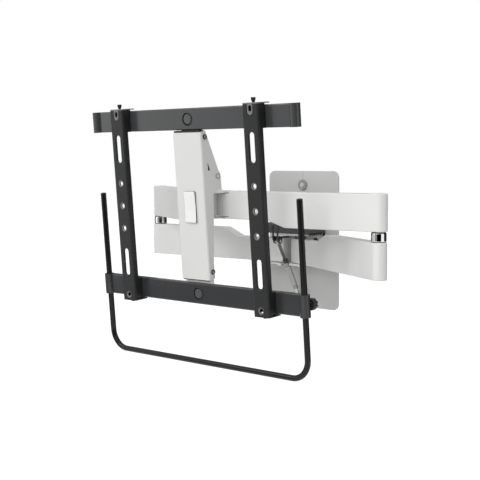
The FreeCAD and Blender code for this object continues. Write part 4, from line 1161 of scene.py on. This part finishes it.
@dataclass
class StripSet(Assembly):
    """One television strip: thumb screw, clip screw and the rims of its holes and slots."""

    side: str
    strip_x: float = 200.0 * MM
    hole_r: float = 4.7 * MM
    dish_r: float = 7.4 * MM
    dish_depth: float = 1.5 * MM
    neck: float = 1.0 * MM
    hole_pitch: float = 50.0 * MM
    foot_hole: float = -200.5 * MM
    slot_r: float = 6.6 * MM
    slot_dish_r: float = 9.2 * MM
    slot_from: float = 96.0 * MM
    slot_to: float = 156.5 * MM
    skin: float = 0.12 * MM
    thumb_h: float = 5.4 * MM
    thumb_foot: float = 4.6 * MM
    thumb_foot_r: float = 2.6 * MM
    thumb_shank_r: float = 2.0 * MM
    thumb_edge: float = 0.5 * MM
    knurls: int = 30
    knurl_from: float = 0.95
    clip_screw: SocketScrew = SocketScrew(4.0 * MM, shank=0.4)

    def thumb_screw(self) -> None:
        """Knurled thumb screw on its tapering foot."""
        node = f"{self.side}_thumb_screw"
        part = self.shop.turned(node, self.shop.up)[0]
        top, rim, edge, shank = part.length, part.radius, self.thumb_edge, self.thumb_shank_r
        low = top - self.thumb_h
        seat = low - self.thumb_foot
        profile = [
            (0.0, 0.0), (shank, 0.0), (shank, seat), (self.thumb_foot_r, seat), (rim - edge, low),
            (rim, low + edge), (rim, (low + top) / 2), (rim, top - edge), (rim - edge, top),
            (rim * 0.7, top), (rim * 0.6, top - edge), (0.0, top - edge),
        ]
        shape = lathe(profile, self.knurls)
        upright = [face for face in shape.faces if abs(face.normal.z) < UPRIGHT]
        sides = [face for face in upright if face.calc_center_median().xy.length > rim * self.knurl_from]
        bmesh.ops.inset_individual(
            shape, faces=sides, thickness=edge * 0.3, depth=-edge * 0.4, use_even_offset=True
        )
        name = f"{self.side}_knurled_screw"
        self.shop.add(moved(shape, part.place.matrix), name, node, Slot.BLACK_SCREW, node)

    def rim(self, height: float, radius: float, dish: float, reach: float) -> Shape:
        """Thin pressed rim that lines the dish of a hole or slot.

        Args:
            height: Height of its middle on the strip.
            radius: Radius of the hole or of the slot's ends.
            dish: Radius of the dish's mouth.
            reach: Half the distance between the centres of a slot's ends, or 0.

        Returns:
            The shape in the row frame.
        """
        skin, neck = self.skin, radius + self.neck
        floor, step = self.dish_depth - skin * 0.2, self.dish_depth - skin * 1.4
        profile = [
            (dish, skin * 0.2), (neck, floor), (radius + skin, floor), (radius + skin, step),
            (neck - skin, step), (dish - skin * 1.6, skin * 0.2),
        ]
        shape = lathe(profile, Facets.FINE, closed=True)
        moved(shape, Matrix.Rotation(math.pi / Facets.FINE, 4, "Z"))
        for sign in (-1.0, 1.0):
            end = [vert for vert in shape.verts if vert.co.y * sign > 0.0]
            bmesh.ops.translate(shape, vec=BACK * (sign * reach), verts=end)
        x = self.strip_x if self.side == "right" else -self.strip_x
        middle = self.shop.head.at(Vector((x, 0.0, height)))
        return moved(shape, Place.along(middle, self.shop.back, RIGHT).matrix)

    def rims(self) -> None:
        """Rims of the three middle holes and the foot hole in lighter grey, a painted highlight for their
        edges catching the light, and dark rims of the two slots in the strip's own paint.
        """
        half = (self.slot_to - self.slot_from) / 2
        middle, reach = self.slot_from + half, half - self.slot_r
        levels = (-self.hole_pitch, 0.0, self.hole_pitch, self.foot_hole)
        holes = joined(self.rim(level, self.hole_r, self.dish_r, 0.0) for level in levels)
        slots = joined(self.rim(level, self.slot_r, self.slot_dish_r, reach) for level in (-middle, middle))
        # Painted highlight: the holes' rims take the lighter grey where their edges catch the light.
        self.shop.add(holes, f"{self.side}_hole_rims", f"{self.side}_strip", Slot.HOOK_PAINT)
        self.shop.add(slots, f"{self.side}_slot_rims", f"{self.side}_strip", Slot.STRIP_PAINT)

    def dress(self) -> None:
        """Add all pieces of the strip."""
        self.thumb_screw()
        node, name = f"{self.side}_clip_screw", f"{self.side}_clip_socket_screw"
        self.screws(node, -self.shop.up, self.clip_screw, name, f"{self.side}_strip")
        self.rims()


@dataclass
class Handle(Assembly):
    """End plugs and clamp knobs of the pull handle."""

    plug_dome: float = 2.5 * MM
    plug_lip: float = 0.3 * MM
    plug_stem: float = 4.7 * MM
    shank_r: float = 4.0 * MM
    shank_l: float = 4.65 * MM
    neck_r: float = 8.0 * MM
    neck_l: float = 3.0 * MM
    lobes: int = 8
    lobe_steps: int = 16
    lobe_r: float = 3.0 * MM
    edge: float = 1.6 * MM
    button: float = 0.55

    def plugs(self) -> None:
        """Domed plugs in the tube's ends."""
        dome, lip, stem = self.plug_dome, self.plug_lip, self.plug_stem
        shapes = []
        for part in self.shop.turned("handle_plugs", self.shop.up):
            top, rim = part.length, part.radius
            seat = top - dome
            profile = [
                (0.0, 0.0), (stem - lip, 0.0), (stem, lip), (stem, seat), (rim, seat),
                (rim, seat + dome * 0.25), (rim * 0.95, seat + dome * 0.52),
                (rim * 0.82, seat + dome * 0.76), (rim * 0.60, seat + dome * 0.92),
                (rim * 0.32, seat + dome * 0.99), (0.0, top),
            ]
            shapes.append(part.spun(profile))
        self.shop.add(joined(shapes), "handle_domed_plugs", "handle", Slot.BLACK_PLASTIC, "handle_plugs")

    def scalloped(self, point: Vector, rim: float) -> Vector:
        """Pull a point of the knob's head in where a scallop cuts it.

        Args:
            point: A point about the knob's axis.
            rim: Radius of the head.

        Returns:
            The point on the scalloped outline.
        """
        radius = point.xy.length
        pitch = math.tau / self.lobes
        angle = math.atan2(point.y, point.x)
        off = angle - round(angle / pitch) * pitch
        centre = rim + self.lobe_r / 2
        reach = self.lobe_r**2 - (centre * math.sin(off)) ** 2
        if reach <= 0.0:
            return point
        limit = min(centre * math.cos(off) - math.sqrt(reach), rim)
        share = min(radius, limit * radius / rim) / radius
        return Vector((point.x * share, point.y * share, point.z))

    def knob(self, side: str) -> None:
        """Lobed clamp knob with rounded rims and a sunk button.

        Args:
            side: Right or left.
        """
        node = f"{side}_clamp_knob"
        part = self.shop.turned(node, self.shop.back)[0]
        top, rim, edge, button = part.length, part.radius, self.edge, part.radius * self.button
        low = self.shank_l + self.neck_l
        profile = [
            (0.0, 0.0), (self.shank_r, 0.0), (self.shank_r, self.shank_l), (self.neck_r, self.shank_l),
            (self.neck_r, low), (rim - edge, low), (rim - edge * 0.3, low + edge * 0.3), (rim, low + edge),
            (rim, top - edge), (rim - edge * 0.3, top - edge * 0.3), (rim - edge, top),
            (button + edge * 0.3, top), (button, top - edge * 0.5), (0.0, top - edge * 0.4),
        ]
        shape = lathe(profile, self.lobes * self.lobe_steps)
        for vert in shape.verts:
            if vert.co.z > low - WELD and vert.co.xy.length > self.neck_r + WELD:
                vert.co = self.scalloped(vert.co, rim)
        bmesh.ops.recalc_face_normals(shape, faces=shape.faces)
        self.shop.add(moved(shape, part.place.matrix), f"{side}_lobed_knob", node, Slot.BLACK_PLASTIC, node)

    def dress(self) -> None:
        """Add all pieces of the handle."""
        self.plugs()
        for side in SIDES:
            self.knob(side)


# Studio
@dataclass(frozen=True)
class Flag:
    """Upright curved screen that only polished surfaces mirror; angles run to the right from the camera."""

    name: str
    from_deg: float
    to_deg: float
    level: float
    low: float = -0.79
    high: float = 1.5
    radius: float = 3.2


@dataclass(frozen=True)
class Softbox:
    """Rectangular soft light: its place, what it faces, its size and power, and if it leaves highlights."""

    name: str
    place: Triple
    target: Triple
    size: tuple[float, float]
    watts: float
    mirrored: bool = True


FLAGS = (
    Flag("flag_front", -27.0, 32.0, 0.0),
    Flag("flag_right", 72.0, 90.0, 0.02),
    Flag("flag_rear_right", 90.0, 178.0, 0.03),
    Flag("flag_half", -59.0, -27.0, 0.30),
    Flag("flag_soft", -84.0, -59.0, 0.75),
    Flag("panel_left", -108.0, -92.0, 1.60),
    Flag("flag_left", -178.0, -108.0, 0.04),
    Flag("flag_low", -108.0, -59.0, 0.15, high=-0.45, radius=2.2),
)
SOFTBOXES = (
    Softbox("key", (-1.7, -2.6, 2.1), (-0.1, -0.2, 0.10), (1.8, 1.8), 33.0),
    Softbox("front", (0.9, -3.2, 0.9), (0.1, -0.2, 0.05), (2.2, 1.6), 18.0),
    Softbox("fill", (1.1, -2.9, 0.6), (0.1, -0.2, 0.05), (2.4, 1.8), 23.0, mirrored=False),
    Softbox("edge", (1.55, 1.45, 0.15), (0.16, -0.34, 0.08), (0.3, 1.6), 4.0, mirrored=False),
)


@dataclass
class Studio:
    """Camera, floor, soft lights and the white surroundings."""

    camera_at: Triple = (1.5765, -1.9016, 0.1928)
    yaw_deg: float = 43.10
    pitch_deg: float = -4.50
    roll_deg: float = 0.31
    lens_mm: float = 79.9
    sensor_mm: float = 36.0
    clip_near: float = 0.05
    clip_far: float = 60.0
    ambient: float = 0.60
    backdrop: float = 1.0
    floor_z: float = -0.80
    floor_half: float = 14.0
    floor_albedo: float = 0.45
    floor_rough: float = 0.9
    floor_white: float = 0.8
    flag_centre: Triple = (0.0, -0.15, 0.0)
    flag_steps: int = 24

    def camera(self) -> None:
        """Set the camera at the photograph's place."""
        yaw, pitch, roll = (math.radians(v) for v in (self.yaw_deg, self.pitch_deg, self.roll_deg))
        ahead = Vector((-math.sin(yaw) * math.cos(pitch), math.cos(yaw) * math.cos(pitch), math.sin(pitch)))
        right = Vector((math.cos(yaw), math.sin(yaw), 0.0))
        down = ahead.cross(right)
        side = right * math.cos(roll) + down * math.sin(roll)
        up = right * math.sin(roll) - down * math.cos(roll)
        data = bpy.data.cameras.new("camera")
        data.sensor_width = self.sensor_mm
        data.lens = self.lens_mm
        data.clip_start = self.clip_near
        data.clip_end = self.clip_far
        camera = bpy.data.objects.new("camera", data)
        matrix = Matrix((side, up, -ahead)).transposed().to_4x4()
        matrix.translation = self.camera_at
        camera.matrix_world = matrix
        bpy.context.scene.collection.objects.link(camera)
        bpy.context.scene.camera = camera

    def surroundings(self) -> None:
        """White backdrop for the camera and for reflections, and an even soft light."""
        world = bpy.data.worlds.new("studio")
        sheet = NodeSheet(world, "Background")
        seen = sheet.rays("Is Camera Ray", "Is Transmission Ray", "Is Glossy Ray")
        sheet.set(Color=WHITE, Strength=sheet.spread(seen, self.ambient, self.backdrop, RAY_ENDS))
        bpy.context.scene.world = world

    def floor(self) -> None:
        """Pale floor that keeps a faint shadow."""
        shape = bmesh.new()
        bmesh.ops.create_grid(shape, x_segments=1, y_segments=1, size=self.floor_half)
        bmesh.ops.translate(shape, vec=UPWARD * self.floor_z, verts=shape.verts)
        sheet = NodeSheet(bpy.data.materials.new("floor"))
        sheet.set(Base_Color=(self.floor_albedo,) * 3, Roughness=self.floor_rough, Emission_Color=WHITE)
        seen = sheet.rays("Is Camera Ray", "Is Glossy Ray")
        sheet.set(Emission_Strength=sheet.spread(seen, 0.0, self.floor_white, RAY_ENDS))
        floor = mesh_object(shape, "floor", sheet.owner)
        floor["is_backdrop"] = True

    def flag(self, flag: Flag) -> None:
        """Stand one screen about the object, seen by mirror rays only.

        Args:
            flag: The screen's arc and brightness.
        """
        centre = Vector(self.flag_centre)
        ahead = Vector(self.camera_at) - centre
        start = math.atan2(ahead.y, ahead.x) + math.radians(flag.from_deg)
        arc = math.radians(flag.to_deg - flag.from_deg)
        foot = centre + Vector((math.cos(start), math.sin(start), 0.0)) * flag.radius
        shape = bmesh.new()
        ends = [shape.verts.new((foot.x, foot.y, z)) for z in (flag.low, flag.high)]
        upright = shape.edges.new(ends)
        bmesh.ops.spin(
            shape, geom=[*ends, upright], cent=centre, axis=UPWARD, angle=arc, steps=self.flag_steps
        )
        sheet = NodeSheet(bpy.data.materials.new(flag.name))
        sheet.set(Base_Color=BLACK, Specular_IOR_Level=0.0)
        sheet.set(Emission_Color=WHITE, Emission_Strength=flag.level)
        screen = mesh_object(shape, flag.name, sheet.owner)
        screen.visible_camera = False
        screen.visible_diffuse = False
        screen.visible_shadow = False
        screen.visible_transmission = False
        screen.visible_volume_scatter = False
        screen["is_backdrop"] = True

    def softbox(self, box: Softbox) -> None:
        """Hang one soft light.

        Args:
            box: The light's place, size and power.
        """
        data = bpy.data.lights.new(box.name, "AREA")
        data.shape = "RECTANGLE"
        data.size, data.size_y = box.size
        data.energy = box.watts
        light = bpy.data.objects.new(box.name, data)
        light.location = box.place
        light.visible_camera = False
        light.visible_glossy = box.mirrored
        light.rotation_euler = (Vector(box.target) - Vector(box.place)).to_track_quat("-Z", "Y").to_euler()
        bpy.context.scene.collection.objects.link(light)

    def build(self) -> None:
        """Set up the camera, the surroundings, the floor and the lights."""
        self.camera()
        self.surroundings()
        self.floor()
        for flag in FLAGS:
            self.flag(flag)
        for box in SOFTBOXES:
            self.softbox(box)
        bpy.context.scene.view_settings.view_transform = "Standard"


def main() -> None:
    """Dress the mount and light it."""
    logging.basicConfig(level=logging.INFO, format="%(name)s: %(message)s")
    shop = Workshop()
    WallSide(shop).dress()
    Strut(shop).dress()
    for side in SIDES:
        Elbow(shop, side).dress()
    Head(shop).dress()
    for side in SIDES:
        StripSet(shop, side).dress()
    Handle(shop).dress()
    Studio().build()
    LOG.info("%d pieces added", len(shop.pieces))


if __name__ == "__main__":
    main()
